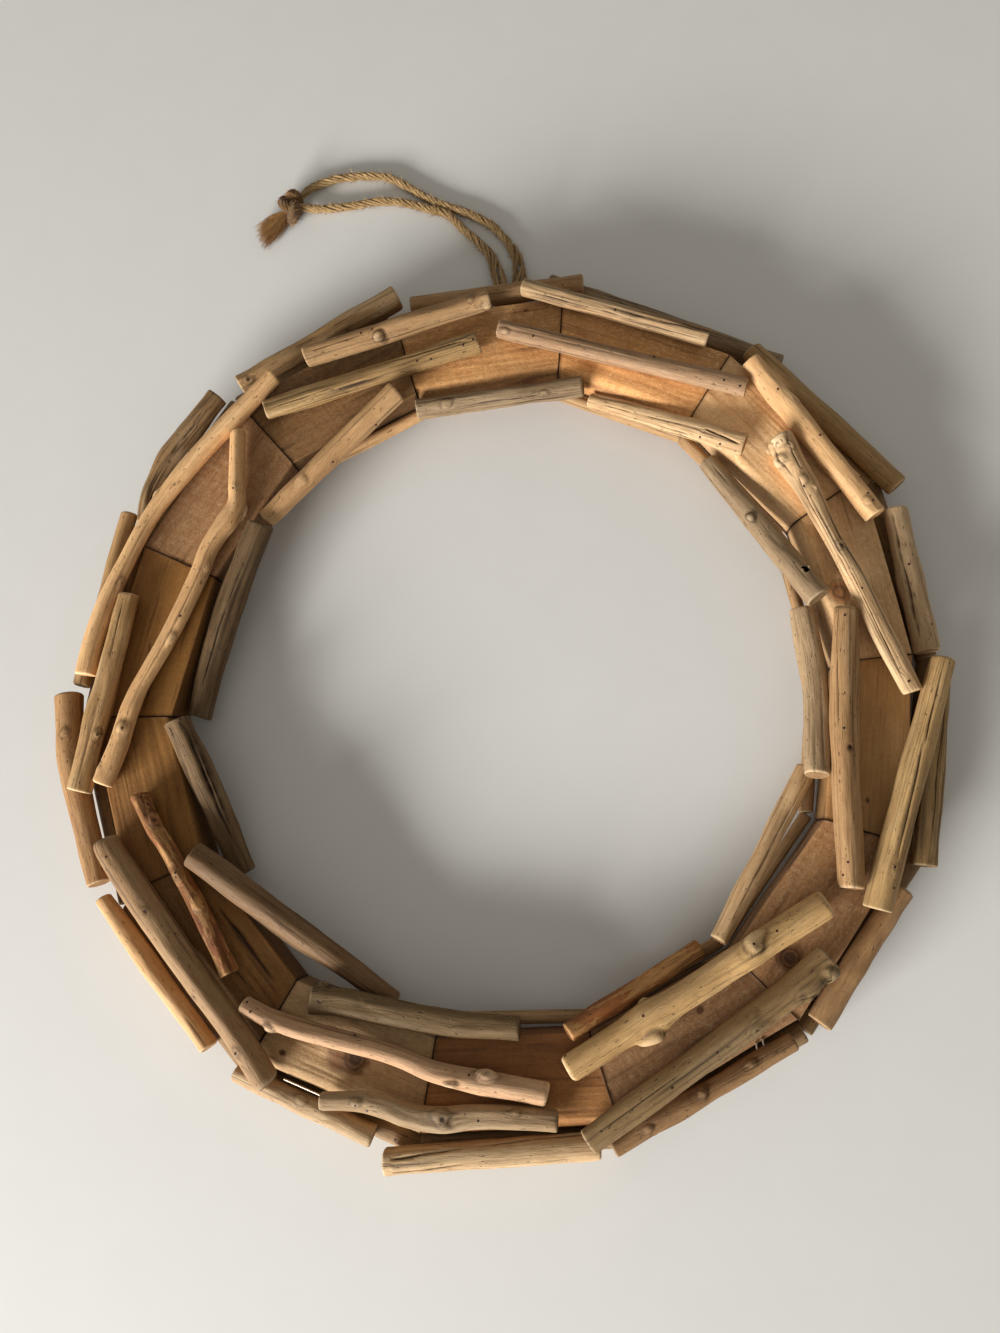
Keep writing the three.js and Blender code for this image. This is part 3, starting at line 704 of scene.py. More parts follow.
class Stick:
    """A stick in the making: its middle line, the reach of its skin, and its marks."""

    def __init__(self, name, middle, waves, rounded, seed, blank=stick_blank):
        self.name = name
        self.draw = np.random.default_rng(seed)
        known = distances(middle)
        self.length = known[-1]
        self.blank = blank
        self.rounded = rounded * MM
        self.far, self.cap, self.drawn_in = stations(self.length, blank.rings, self.rounded)
        self.middle = read_between(self.far, known, middle)
        ahead = read_between(self.far, known, np.gradient(middle, known, axis=0))
        self.ahead = ahead / np.linalg.norm(ahead, axis=1)[:, None]
        self.side, self.up = across_stick(self.ahead)
        self.waves = read_between(self.far, known, waves)
        columns = np.arange(blank.sides) / blank.sides * 2 * math.pi
        self.turn = np.broadcast_to(columns, (len(self.far), len(columns))).copy()
        self.radius = float(np.abs(self.waves[:, 1]).mean())
        self.pushes = []
        self.dark = np.zeros(self.turn.shape)
        self.worn = np.zeros(self.turn.shape)
        self.swirl = np.zeros(self.turn.shape)
        self.seed = seed
        self.shade = 1.0
        self.streaky = 0.4

    def where(self, x, y):
        """How far along and how far round the point is that shows at a place in the picture."""
        way = np.array(ray_through(x, y))
        best = None
        for height in HEIGHTS:
            point = np.array(place_at(x, y, height))
            away = np.linalg.norm(self.middle - point, axis=1)
            i = int(away.argmin())
            reach = abs(away[i] - self.radius)
            out = point - self.middle[i]
            facing = -(out @ way)
            if facing > -self.radius * 0.3 and (best is None or reach < best[0]):
                best = (reach, self.far[i], math.atan2(out @ self.side[i], out @ self.up[i]))
        return best[1], best[2]

    def angle_to(self, turn):
        """The angle from each point of the skin to a line along it, at most half a turn."""
        return (self.turn - turn + math.pi) % (2 * math.pi) - math.pi

    def push(self, amount):
        self.pushes.append(amount)

    def flutes(self, depth):
        """Long shallow hollows, their deepest parts painted darker as shade. The ridges between
        them are rubbed pale.
        """
        low = unevenness(self.draw, *self.turn.shape, 10, 2)
        self.push(low * depth * MM)
        # The deepest parts of the hollows are marked dark: painted shade.
        self.dark += np.clip(-low - 0.9, 0, 1) * min(depth, 0.5) * 0.9
        self.worn += np.clip(low - 0.7, 0, 1) * min(depth, 0.5) * 0.9

    def knot(self, x, y, height, size, hole):
        """A raised knot at a place in the picture, with a hole in it if a twig broke off, painted
        dark as shade.
        """
        far, turn = self.where(x, y)
        around = self.angle_to(turn) * self.radius
        uneven = 1 + 0.24 * unevenness(self.draw, *self.turn.shape, 3, 2)
        away = np.hypot((self.far[:, None] - far) * 0.8, around) / (size * MM) * uneven
        self.push(1.25 * height * MM * np.exp(-(away**2.4)))
        self.push(-0.16 * height * MM * np.exp(-(((away - 1.6) / 0.4) ** 2)))
        rim = np.exp(-(((away - 1.2) / 0.26) ** 2)) * np.clip(uneven, 0, 1)
        self.dark += min(0.8, 0.3 + 0.35 * height) * rim
        self.worn += min(0.6, 0.4 * height) * np.exp(-((away / 0.85) ** 4)) * (1 - 0.6 * hole)
        bent = 0.5 * np.exp(-((away / 2.2) ** 2)) * np.clip(away, 0, 1)
        self.swirl -= np.sign(around) * bent
        if hole:
            aside = np.hypot(self.far[:, None] - far - 0.2 * size * MM, around - 0.1 * size * MM)
            aside /= max(size, 1.3) * MM * (0.26 + 0.2 * hole) * uneven
            self.push(-1.3 * MM * hole * np.exp(-(aside**2)))
            # The hole's dark is painted shade.
            self.dark += 1.5 * hole * np.exp(-(aside**3))

    def crack(self, start, end, width, depth):
        """A crack along the grain between two places in the picture. Columns move to its line."""
        (far0, turn0), (far1, turn1) = self.where(*start), self.where(*end)
        if far0 > far1:
            (far0, turn0), (far1, turn1) = (far1, turn1), (far0, turn0)
        turn1 = turn0 + (turn1 - turn0 + math.pi) % (2 * math.pi) - math.pi
        share = np.clip((self.far - far0) / (far1 - far0), 0, 1)
        wander = unevenness(self.draw, len(self.far), 4, 5, 1)[:, 0] * 0.018
        line = turn0 + (turn1 - turn0) * share + wander
        middle = (far0 + far1) / 2
        taper = np.clip(1 - np.abs((self.far - middle) / (far1 - far0) * 2) ** 3, 0, 1)
        self.draw_columns(line, smoothstep(taper * 3), width)
        wide = width * MM * (0.35 + 0.65 * taper)[:, None]
        away = np.abs(self.angle_to(line[:, None])) * self.radius / wide
        ragged = np.clip(1 + 0.3 * unevenness(self.draw, *self.turn.shape, 2, 2), 0.3, 1.5)
        valley = np.exp(-(away**2)) * taper[:, None]
        self.push(-depth * MM * valley * ragged)
        # The crack's valley is marked dark: painted shade inside it.
        self.dark += 1.1 * valley * ragged

    def grooves(self, count, depth):
        """Fine straight drying lines, each along one column for part of the stick."""
        columns, rings = self.turn.shape[1], len(self.far)
        for _ in range(count):
            column = self.draw.integers(columns)
            middle = self.draw.uniform(0, self.length)
            half = self.draw.uniform(0.08, 0.4) * self.length
            taper = np.clip(1 - ((self.far - middle) / half) ** 2, 0, 1)
            depth_here = self.draw.uniform(0.4, 1) * taper
            line = np.zeros((rings, columns))
            line[:, column] = depth_here
            self.push(-depth * MM * line)
            # Each line is marked dark: painted shade in it.
            self.dark += 0.75 * line

    def draw_columns(self, line, inside, width):
        """Moves the columns near a crack: one lies in it and its neighbours stand close by."""
        step = 2 * math.pi / self.blank.sides
        column = round(float(line.mean()) / step)
        offset = self.angle_to(column * step)
        near = np.exp(-((offset / (2.5 * step)) ** 2)) * inside[:, None]
        shift = (line - column * step)[:, None]
        shift = (shift + math.pi) % (2 * math.pi) - math.pi
        tight = min(0.6, max(0.0, 1 - width * MM / self.radius / step))
        self.turn += near * (shift - tight * offset)

    def skin(self):
        """Every point of the skin, once all the changes are made."""
        fine = unevenness(self.draw, *self.turn.shape, 4, 0.7)
        lumps = unevenness(self.draw, *self.turn.shape, 7, 5)
        self.push(fine * FINE_MM * MM + lumps * LUMP_MM * MM)
        self.worn += np.clip(fine - 1, 0, 1) * 0.12
        reach = np.zeros(self.turn.shape, complex)
        for wave, value in zip(WAVES, self.waves.T):
            turning = np.cos(wave * self.turn) if wave == 4 else np.exp(1j * wave * self.turn)
            reach += value[:, None] * turning
        size = np.abs(reach)
        way = reach / size
        size = size * SHRINK + np.clip(sum(self.pushes), DEEPEST * size, HIGHEST * size)
        edge = self.rounded * (0.75 + 0.2 * np.cos(self.turn - self.draw.uniform(0, 6)))
        size = (size - edge * self.drawn_in[:, None]) * self.cap[:, None]
        slope = self.draw.uniform(0, SLOPE_MM, 2) * MM
        lean = self.draw.uniform(0, 2 * math.pi, 2)
        near = [np.exp(-away / (END_MM * MM)) for away in (self.far, self.length - self.far)]
        tilt = sum(
            sign * s * fade[:, None] * (1 + np.cos(self.turn - a) * self.cap[:, None]) / 2
            for sign, s, a, fade in zip((1, -1), slope, lean, near)
        )
        rough = unevenness(self.draw, *self.turn.shape, 1, 3) * ROUGH_MM * MM
        rough = rough * (self.cap[:, None] < 1)
        inward = np.where(np.arange(len(self.far)) < len(self.far) / 2, 1, -1)
        tilt = tilt + inward[:, None] * np.abs(rough)
        reach = way * size
        return (
            self.middle[:, None] + self.ahead[:, None] * tilt[..., None]
            + self.up[:, None] * reach.real[..., None] + self.side[:, None] * reach.imag[..., None]
        )

    def marks(self):
        """The marks that the finish reads at each point."""
        round_turn = self.turn + self.swirl
        reach = self.radius * np.minimum(self.cap, 1)[:, None]
        grain = np.stack([
            np.cos(round_turn) * reach, np.sin(round_turn) * reach,
            np.broadcast_to(self.far[:, None], self.turn.shape) + 0.37 * self.seed,
        ], axis=2)
        is_cut = (self.cap < 1) | (self.drawn_in > 0.5)
        cut = np.broadcast_to(is_cut.astype(float)[:, None], self.turn.shape)
        rubbed_edge = np.exp(-(((self.drawn_in - 0.45) / 0.3) ** 2)) * (self.cap == 1)
        self.worn += rubbed_edge[:, None] * 0.8
        return {
            "grain": grain, "dark": np.clip(self.dark, 0, 1), "worn": np.clip(self.worn, 0, 1),
            "cut": cut.copy(), "shade": np.full(self.turn.shape, self.shade),
            "streaky": np.full(self.turn.shape, self.streaky),
        }

    def made(self):
        """The finished stick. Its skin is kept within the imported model's box."""
        places = np.clip(self.skin(), *CAD_BOX)
        return self.blank.shaped(self.name, places, self.marks())


# %% [markdown]
# ## What each stick is like
# No two sticks are alike, so each has a line of notes: how light it is drawn, which is partly its
# wood's own tone and partly painted light and shade, how deep its flutes are, how many fine drying
# lines it has, how streaky it is, and where its knots and cracks show.
# Knots and cracks are noted by their place in the picture, and are found on the stick by looking
# along a ray. A knot is x, y, height and size in mm, and how open its hole is. A crack runs from
# one place to another, and has a width and a depth in mm.

# %% Notes on the sticks
NOTES = {
    "front_outer_01": {
        "shade": 0.6, "flutes": 0.16, "lines": 8,
        "knots": [(378, 338, 1.7, 2.0, 0.2), (488, 305, 1.0, 1.6, 0), (470, 300, 0.4, 1.6, 0)],
        "cracks": [((310, 352), (365, 334), 0.2, 0.2)]},
    "front_outer_02": {
        "shade": 0.66, "flutes": 0.22, "lines": 36, "streaky": 0.9,
        "cracks": [((530, 291), (640, 321), 0.22, 0.6), ((600, 304), (704, 332), 0.22, 0.5),
                   ((527, 297), (585, 311), 0.2, 0.4), ((620, 320), (690, 336), 0.2, 0.4)]},
    "front_outer_03": {
        "shade": 1.05, "flutes": 0.1, "lines": 3, "streaky": 0.2,
        "knots": [(868, 500, 0.4, 1.3, 0.3), (800, 395, 0.3, 2.0, 0)]},
    "front_outer_04": {
        "shade": 0.8, "flutes": 0.16, "lines": 14, "streaky": 0.6,
        "cracks": [((943, 668), (926, 742), 0.28, 0.9), ((924, 740), (897, 862), 0.22, 0.7)],
        "knots": [(893, 870, 0.2, 1.2, 0.6)]},
    "front_outer_05": {
        "shade": 0.46, "flutes": 0.2, "lines": 12,
        "knots": [(811, 994, 0.8, 3.0, 1.2), (757, 1031, 0.4, 2.0, 0.3), (836, 978, 1.3, 2.0, 0)],
        "cracks": [((600, 1132), (680, 1075), 0.2, 0.25), ((790, 1005), (838, 985), 0.25, 0.5)]},
    "front_outer_06": {
        "shade": 0.47, "flutes": 0.2, "lines": 6, "streaky": 0.3,
        "knots": [(441, 1119, 0.9, 2.4, 0.7), (355, 1104, 0.5, 1.8, 0), (516, 1113, 0.4, 1.7, 0)]},
    "front_outer_07": {
        "shade": 0.5, "flutes": 0.14, "lines": 6, "rounded": 3.2, "streaky": 0.3,
        "knots": [
            (145, 911, 0.3, 1.2, 0.8), (235, 1054, 0.4, 1.8, 0.6), (192, 998, 0.2, 1.2, 0.9)]},
    "front_outer_08": {
        "shade": 1.2, "flutes": 0.2, "lines": 12, "streaky": 0.6,
        "knots": [(97, 733, 0.7, 1.5, 0.8)], "cracks": [((122, 600), (108, 660), 0.2, 0.25)]},
    "front_outer_09": {
        "shade": 1.2, "flutes": 0.16, "lines": 6, "streaky": 0.3,
        "knots": [(157, 492, 0.7, 2.0, 0), (122, 585, 0.5, 1.8, 0.5)]},
    "front_inner_01": {
        "shade": 0.7, "flutes": 0.26, "lines": 24, "streaky": 0.7,
        "cracks": [((262, 410), (370, 374), 0.2, 0.5), ((350, 372), (472, 338), 0.2, 0.5)]},
    "front_inner_02": {
        "shade": 0.72, "flutes": 0.1, "lines": 4, "streaky": 0.25,
        "knots": [(505, 330, 0.4, 1.6, 0), (654, 356, 0.2, 1.2, 0.6)]},
    "front_inner_03": {
        "shade": 0.96, "flutes": 0.34, "lines": 16, "streaky": 0.5,
        "knots": [
            (777, 437, 1.6, 2.2, 0), (789, 446, 1.2, 1.6, 0.5), (783, 460, 1.3, 1.8, 0.9),
            (770, 450, 1.0, 1.7, 0), (842, 543, 0.8, 1.8, 1), (802, 480, 0.6, 1.8, 0)],
        "cracks": [
            ((796, 474), (850, 580), 0.14, 0.5), ((842, 552), (903, 680), 0.14, 0.5),
            ((800, 486), (838, 556), 0.12, 0.4), ((774, 446), (795, 480), 0.22, 0.6),
            ((784, 438), (800, 470), 0.2, 0.5)]},
    "front_inner_04": {
        "shade": 0.7, "flutes": 0.2, "lines": 16, "rounded": 1.8, "streaky": 0.75,
        "knots": [(850, 749, 0.15, 1.2, 1)], "cracks": [((838, 640), (840, 730), 0.2, 0.2)]},
    "front_inner_05": {
        "shade": 1.0, "flutes": 0.14, "lines": 6, "rounded": 2.4,
        "knots": [
            (655, 1035, 1.5, 2.4, 0.3), (755, 947, 1.25, 2.9, 0.35), (640, 995, 0.9, 2.2, 0)]},
    "front_inner_06": {
        "shade": 1.0, "flutes": 0.12, "lines": 4, "rounded": 1.6, "streaky": 0.25,
        "knots": [
            (270, 1030, 1.2, 2.2, 0.3), (487, 1075, 1.7, 2.5, 0.5), (355, 1035, 0.2, 1.2, 0.5)]},
    "front_inner_07": {
        "shade": 0.76, "flutes": 0.3, "lines": 10, "streaky": 0.6,
        "knots": [
            (154, 819, 1.0, 2.2, 0.9), (176, 876, 0.5, 1.5, 0.7), (196, 905, 0.6, 2.0, 0),
            (148, 803, 0.4, 1.4, 0.8)]},
    "front_inner_08": {
        "shade": 1.15, "flutes": 0.12, "lines": 6, "streaky": 0.3,
        "knots": [
            (245, 513, 1.3, 2.2, 0), (122, 727, 0.9, 2.0, 0.5), (172, 638, 0.7, 1.9, 0.4),
            (208, 569, 0.5, 1.6, 0), (236, 486, 0.4, 1.4, 0.4), (100, 768, 0.3, 1.4, 0)]},
    "outer_side_01": {
        "shade": 0.94, "flutes": 0.3, "lines": 14, "streaky": 0.6,
        "knots": [(248, 379, 0.6, 2.0, 0.8)], "cracks": [((270, 362), (360, 312), 0.2, 0.4)]},
    "outer_side_02": {"shade": 0.66, "flutes": 0.1, "lines": 4},
    "outer_side_03": {
        "shade": 0.55, "flutes": 0.28, "lines": 12, "streaky": 0.7,
        "cracks": [((600, 292), (690, 322), 0.3, 0.7)]},
    "outer_side_04": {"shade": 0.74, "flutes": 0.08, "lines": 4, "streaky": 0.3},
    "outer_side_05": {
        "shade": 1.1, "flutes": 0.14, "lines": 6,
        "cracks": [((893, 512), (902, 566), 0.42, 2.6), ((901, 556), (920, 640), 0.36, 2.2)]},
    "outer_side_06": {
        "shade": 0.6, "flutes": 0.34, "lines": 22, "streaky": 0.7,
        "cracks": [((946, 700), (930, 850), 0.25, 0.6)]},
    "outer_side_07": {"shade": 0.57, "flutes": 0.1, "lines": 4, "streaky": 0.3},
    "outer_side_08": {
        "shade": 0.48, "flutes": 0.12, "lines": 4, "streaky": 0.3,
        "knots": [(702, 1094, 0.6, 1.6, 0), (648, 1129, 0.5, 1.5, 0), (752, 1064, 0.5, 1.5, 0)]},
    "outer_side_09": {
        "shade": 0.74, "flutes": 0.12, "lines": 14, "streaky": 0.4,
        "cracks": [((386, 1161), (476, 1147), 0.24, 0.8), ((470, 1147), (596, 1132), 0.24, 0.8),
                   ((391, 1174), (466, 1163), 0.24, 0.8)]},
    "outer_side_10": {
        "shade": 0.62, "flutes": 0.12, "lines": 4, "streaky": 0.3,
        "knots": [(300, 1100, 0.4, 1.8, 0)]},
    "outer_side_11": {"shade": 0.95, "flutes": 0.08, "lines": 3, "streaky": 0.3},
    "outer_side_12": {
        "shade": 0.68, "flutes": 0.1, "lines": 4, "streaky": 0.3,
        "knots": [(64, 733, 0.4, 2.0, 0.1)]},
    "outer_side_13": {"shade": 1.15, "flutes": 0.12, "lines": 8},
    "outer_side_14": {
        "shade": 0.72, "flutes": 0.26, "lines": 24, "streaky": 0.8,
        "cracks": [((208, 405), (160, 470), 0.22, 0.6), ((200, 424), (146, 505), 0.22, 0.5)]},
    "inner_side_01": {
        "shade": 0.58, "flutes": 0.16, "lines": 12, "streaky": 0.6,
        "knots": [(447, 405, 0.5, 1.8, 0.3), (544, 394, 0.4, 1.5, 0.3)],
        "cracks": [((470, 404), (540, 395), 0.2, 0.25)]},
    "inner_side_02": {
        "shade": 0.94, "flutes": 0.12, "lines": 16, "streaky": 0.4,
        "cracks": [((598, 403), (705, 430), 0.14, 0.4), ((660, 424), (690, 432), 0.12, 0.4),
                   ((704, 428), (742, 444), 0.3, 1.2)]},
    "inner_side_03": {
        "shade": 0.6, "flutes": 0.1, "lines": 6, "rounded": 1.6, "streaky": 0.3,
        "knots": [(751, 516, 1.6, 1.5, 0.1)], "cracks": [((762, 545), (778, 570), 0.2, 0.2)]},
    "inner_side_04": {
        "shade": 0.84, "flutes": 0.14, "lines": 12,
        "cracks": [((820, 612), (832, 780), 0.3, 1.0)]},
    "inner_side_05": {
        "shade": 0.95, "flutes": 0.2, "lines": 10, "cracks": [((805, 785), (730, 925), 0.25, 0.6)]},
    "inner_side_06": {"shade": 0.84, "flutes": 0.16, "lines": 8},
    # The inner sticks 07 to 10 lie in shadow, and their low shade numbers paint that shade into
    # their colour.
    "inner_side_07": {
        "shade": 0.3, "flutes": 0.12, "lines": 4, "streaky": 0.25,
        "knots": [(322, 980, 1.6, 2.6, 0)], "cracks": [((330, 990), (430, 1012), 0.2, 0.4)]},
    "inner_side_08": {"shade": 0.32, "flutes": 0.16, "lines": 8},
    "inner_side_09": {
        "shade": 0.42, "flutes": 0.24, "lines": 12, "streaky": 0.6,
        "cracks": [((168, 722), (228, 868), 0.36, 1.5), ((178, 718), (236, 850), 0.32, 1.5),
                   ((186, 722), (238, 842), 0.3, 1.1)]},
    "inner_side_10": {
        "shade": 0.34, "flutes": 0.3, "lines": 14, "streaky": 0.6,
        "cracks": [((255, 540), (200, 690), 0.24, 0.6), ((243, 535), (205, 640), 0.24, 0.6)]},
    "inner_side_11": {
        "shade": 0.85, "flutes": 0.12, "lines": 4, "streaky": 0.3,
        "knots": [(333, 462, 0.2, 1.2, 0.6), (300, 480, 0.4, 2.0, 0)]},
}


def make_stick(node, seed, notes):
    middle, waves = form_of(node)
    stick = Stick(node + "_wood", middle, waves, notes.get("rounded", ROUNDED_MM), seed)
    stick.shade = notes["shade"]
    stick.streaky = notes.get("streaky", 0.45)
    stick.flutes(notes["flutes"])
    stick.grooves(notes["lines"], GROOVE_MM)
    for knot_notes in notes.get("knots", ()):
        stick.knot(*knot_notes)
    for crack_notes in notes.get("cracks", ()):
        stick.crack(*crack_notes)
    piece = stick.made()
    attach(piece, BODY)
    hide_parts(node)
    return piece


sticks = {}
for seed, (node, notes) in enumerate(NOTES.items(), start=1):
    sticks[node] = make_stick(node, seed, notes)
print("sticks:", len(sticks))

# %% [markdown]
# ## The two rows underneath
# More short sticks lie under the outer and the inner rows, and only show in the gaps. In the packed
# model each row is one solid. Here each length is a stick of its own, made in the same way from a
# straight middle line and a round section, and it ends where the next one starts. A corner between
# two sticks is given from the ring's middle: how far out in mm, which way in degrees, and how high.

# %% The lower rows
OUTER_WIDTH_MM = 9.2
INNER_WIDTH_MM = 5.2
OUTER_CORNERS = [
    (183.2, 51.4, 5.3), (183.2, 28.5, 5.3), (178.6, 3.2, 5.3), (180.2, 337, 5.3),
    (181.2, 310.8, 5.3), (183.2, 284.8, 5.3), (185.2, 259.8, 5.3), (186.2, 235.3, 5.3),
    (184.2, 208.3, 5.3), (186.6, 183.2, 5.3), (187.2, 156.7, 5.3), (188.6, 131.1, 5.3),
    (188.2, 106, 5.3),
]
INNER_CORNERS = [
    (135, 128, 11), (136, 104.8, 9), (140, 79.4, 8.6), (139.6, 54.2, 7.6), (138.4, 28.5, 6),
    (133.4, 3.2, 4.5), (135.9, 337, 5), (135.9, 310.8, 5.5), (136.9, 284.8, 7), (134.5, 263, 9),
]


def ring_place(radius, degrees, height):
    """A corner's place, in metres."""
    turn = math.radians(degrees)
    flat = np.array([radius * math.cos(turn), radius * math.sin(turn), height])
    return (flat + RING_CENTRE) * MM


def make_row(node, corners, width, first_seed):
    made = []
    for i, (start, end) in enumerate(zip(corners, corners[1:])):
        a, b = ring_place(*start), ring_place(*end)
        line = a + (b - a) * np.linspace(0, 1, 5)[:, None]
        section = np.zeros((5, RING_CORNERS), complex)
        section[:, 1] = width / 2 * MM
        name = f"{node}_{i + 1:02d}"
        stick = Stick(name, line, section, ROUNDED_MM, first_seed + i, row_blank)
        # All but the first stick of a row are drawn darker: painted shade, where they lie under the
        # sticks above.
        stick.shade = 0.6 if i else 0.95
        stick.flutes(0.2)
        stick.grooves(8, 0.25)
        piece = stick.made()
        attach(piece, BODY)
        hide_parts(node)
        made.append(piece)
    return made


outer_row = make_row("lower_outer_sticks", OUTER_CORNERS, OUTER_WIDTH_MM, 60)
inner_row = make_row("lower_inner_sticks", INNER_CORNERS, INNER_WIDTH_MM, 80)
print("lower sticks:", len(outer_row) + len(inner_row))

# %% [markdown]
# ## The boards
# The boards are sawn from soft wood, and some keep a rounded edge from the log. A board's packed
# solid has four levels, each with four corners, so its section at any place is known. The same
# blank bar, with more columns, is wrapped round that section: most columns lie on the face, where
# the saw marks, knots and cracks are, and the rest go round the edges. A board's knot is x, y, size
# in mm and depth, and its crack is noted as a stick's is.

# %% Make the boards
TOP_HALF, UNDERSIDE = 24, 16
EDGE_COLUMNS = (4, 3, 3)
TOP_REST = board_blank.sides - TOP_HALF - UNDERSIDE - 2 * sum(EDGE_COLUMNS)
CAP_INSETS = (0.5, 0.9, 0.985, 1)
SAWN_FIBRE_MM = 0.06
SWELL_MM = 0.12
SUNK_MM = 0.3
DARK_END_MM = 0.36
SHARP_ANGLE = math.radians(50)
BOARD_EDGE_MM = 0.45
BOARD_SEED = 200
# A board's shade number is partly its own tone and partly painted light and shade. Boards 02 and 03
# are made lighter to paint the sun that falls between their sticks.
BOARD_SHADES = (1.15, 1.5, 1.25, 1.05, 0.74, 0.78, 0.58, 1.1, 0.7, 0.5, 0.47, 0.5, 0.68, 0.46)
BOARD_KNOTS = {
    1: [(526, 310, 0.8, 0.7), (372, 352, 0.8, 0.9)],
    3: [(800, 470, 1.2, 0.6), (842, 478, 1.6, 0.7)],
    4: [(838, 592, 4.6, -0.3)],
    5: [(868, 800, 0.9, 0.6)],
    6: [(790, 958, 5.0, 1.1)],
    7: [(700, 1010, 1.0, 0.5)],
    9: [(355, 1060, 5.0, 1.0), (338, 1062, 5.0, 0.1), (282, 1053, 1.3, 1.2)],
    12: [(138, 690, 0.9, 0.6)],
    13: [(176, 560, 1.0, 0.6)],
}
BOARD_CRACKS = {
    10: [((216, 905), (276, 985), 0.45, 1.4), ((196, 930), (262, 1000), 0.3, 0.5)],
    12: [((150, 640), (146, 700), 0.3, 0.3)],
}


def board_levels(node):
    """A board's corners at each level: inner start, inner end, outer end, outer start."""
    place, _ = welded(node)
    levels = []
    for height in sorted(set(np.round(place[:, 2], 5))):
        corners = place[np.abs(place[:, 2] - height) < 1e-5]
        flat = corners - RING_CENTRE * MM
        middle = flat.mean(axis=0)
        out = middle[:2] / np.linalg.norm(middle[:2])
        forward = np.array([out[1], -out[0]])
        is_outer = flat[:, :2] @ out > middle[:2] @ out
        is_end = (flat - middle)[:, :2] @ forward > 0
        levels.append([
            corners[is_outer == outer][is_end[is_outer == outer] == end][0]
            for outer, end in ((False, False), (False, True), (True, True), (True, False))
        ])
    return np.array(levels)


def go_round(corners, counts):
    """A line round the corners, with a number of steps from each one to the next."""
    steps = []
    for a, b, count in zip(corners, np.roll(corners, -1, axis=0), counts):
        steps.append(a + (b - a) * (np.arange(count) / count)[:, None])
    return np.vstack(steps)


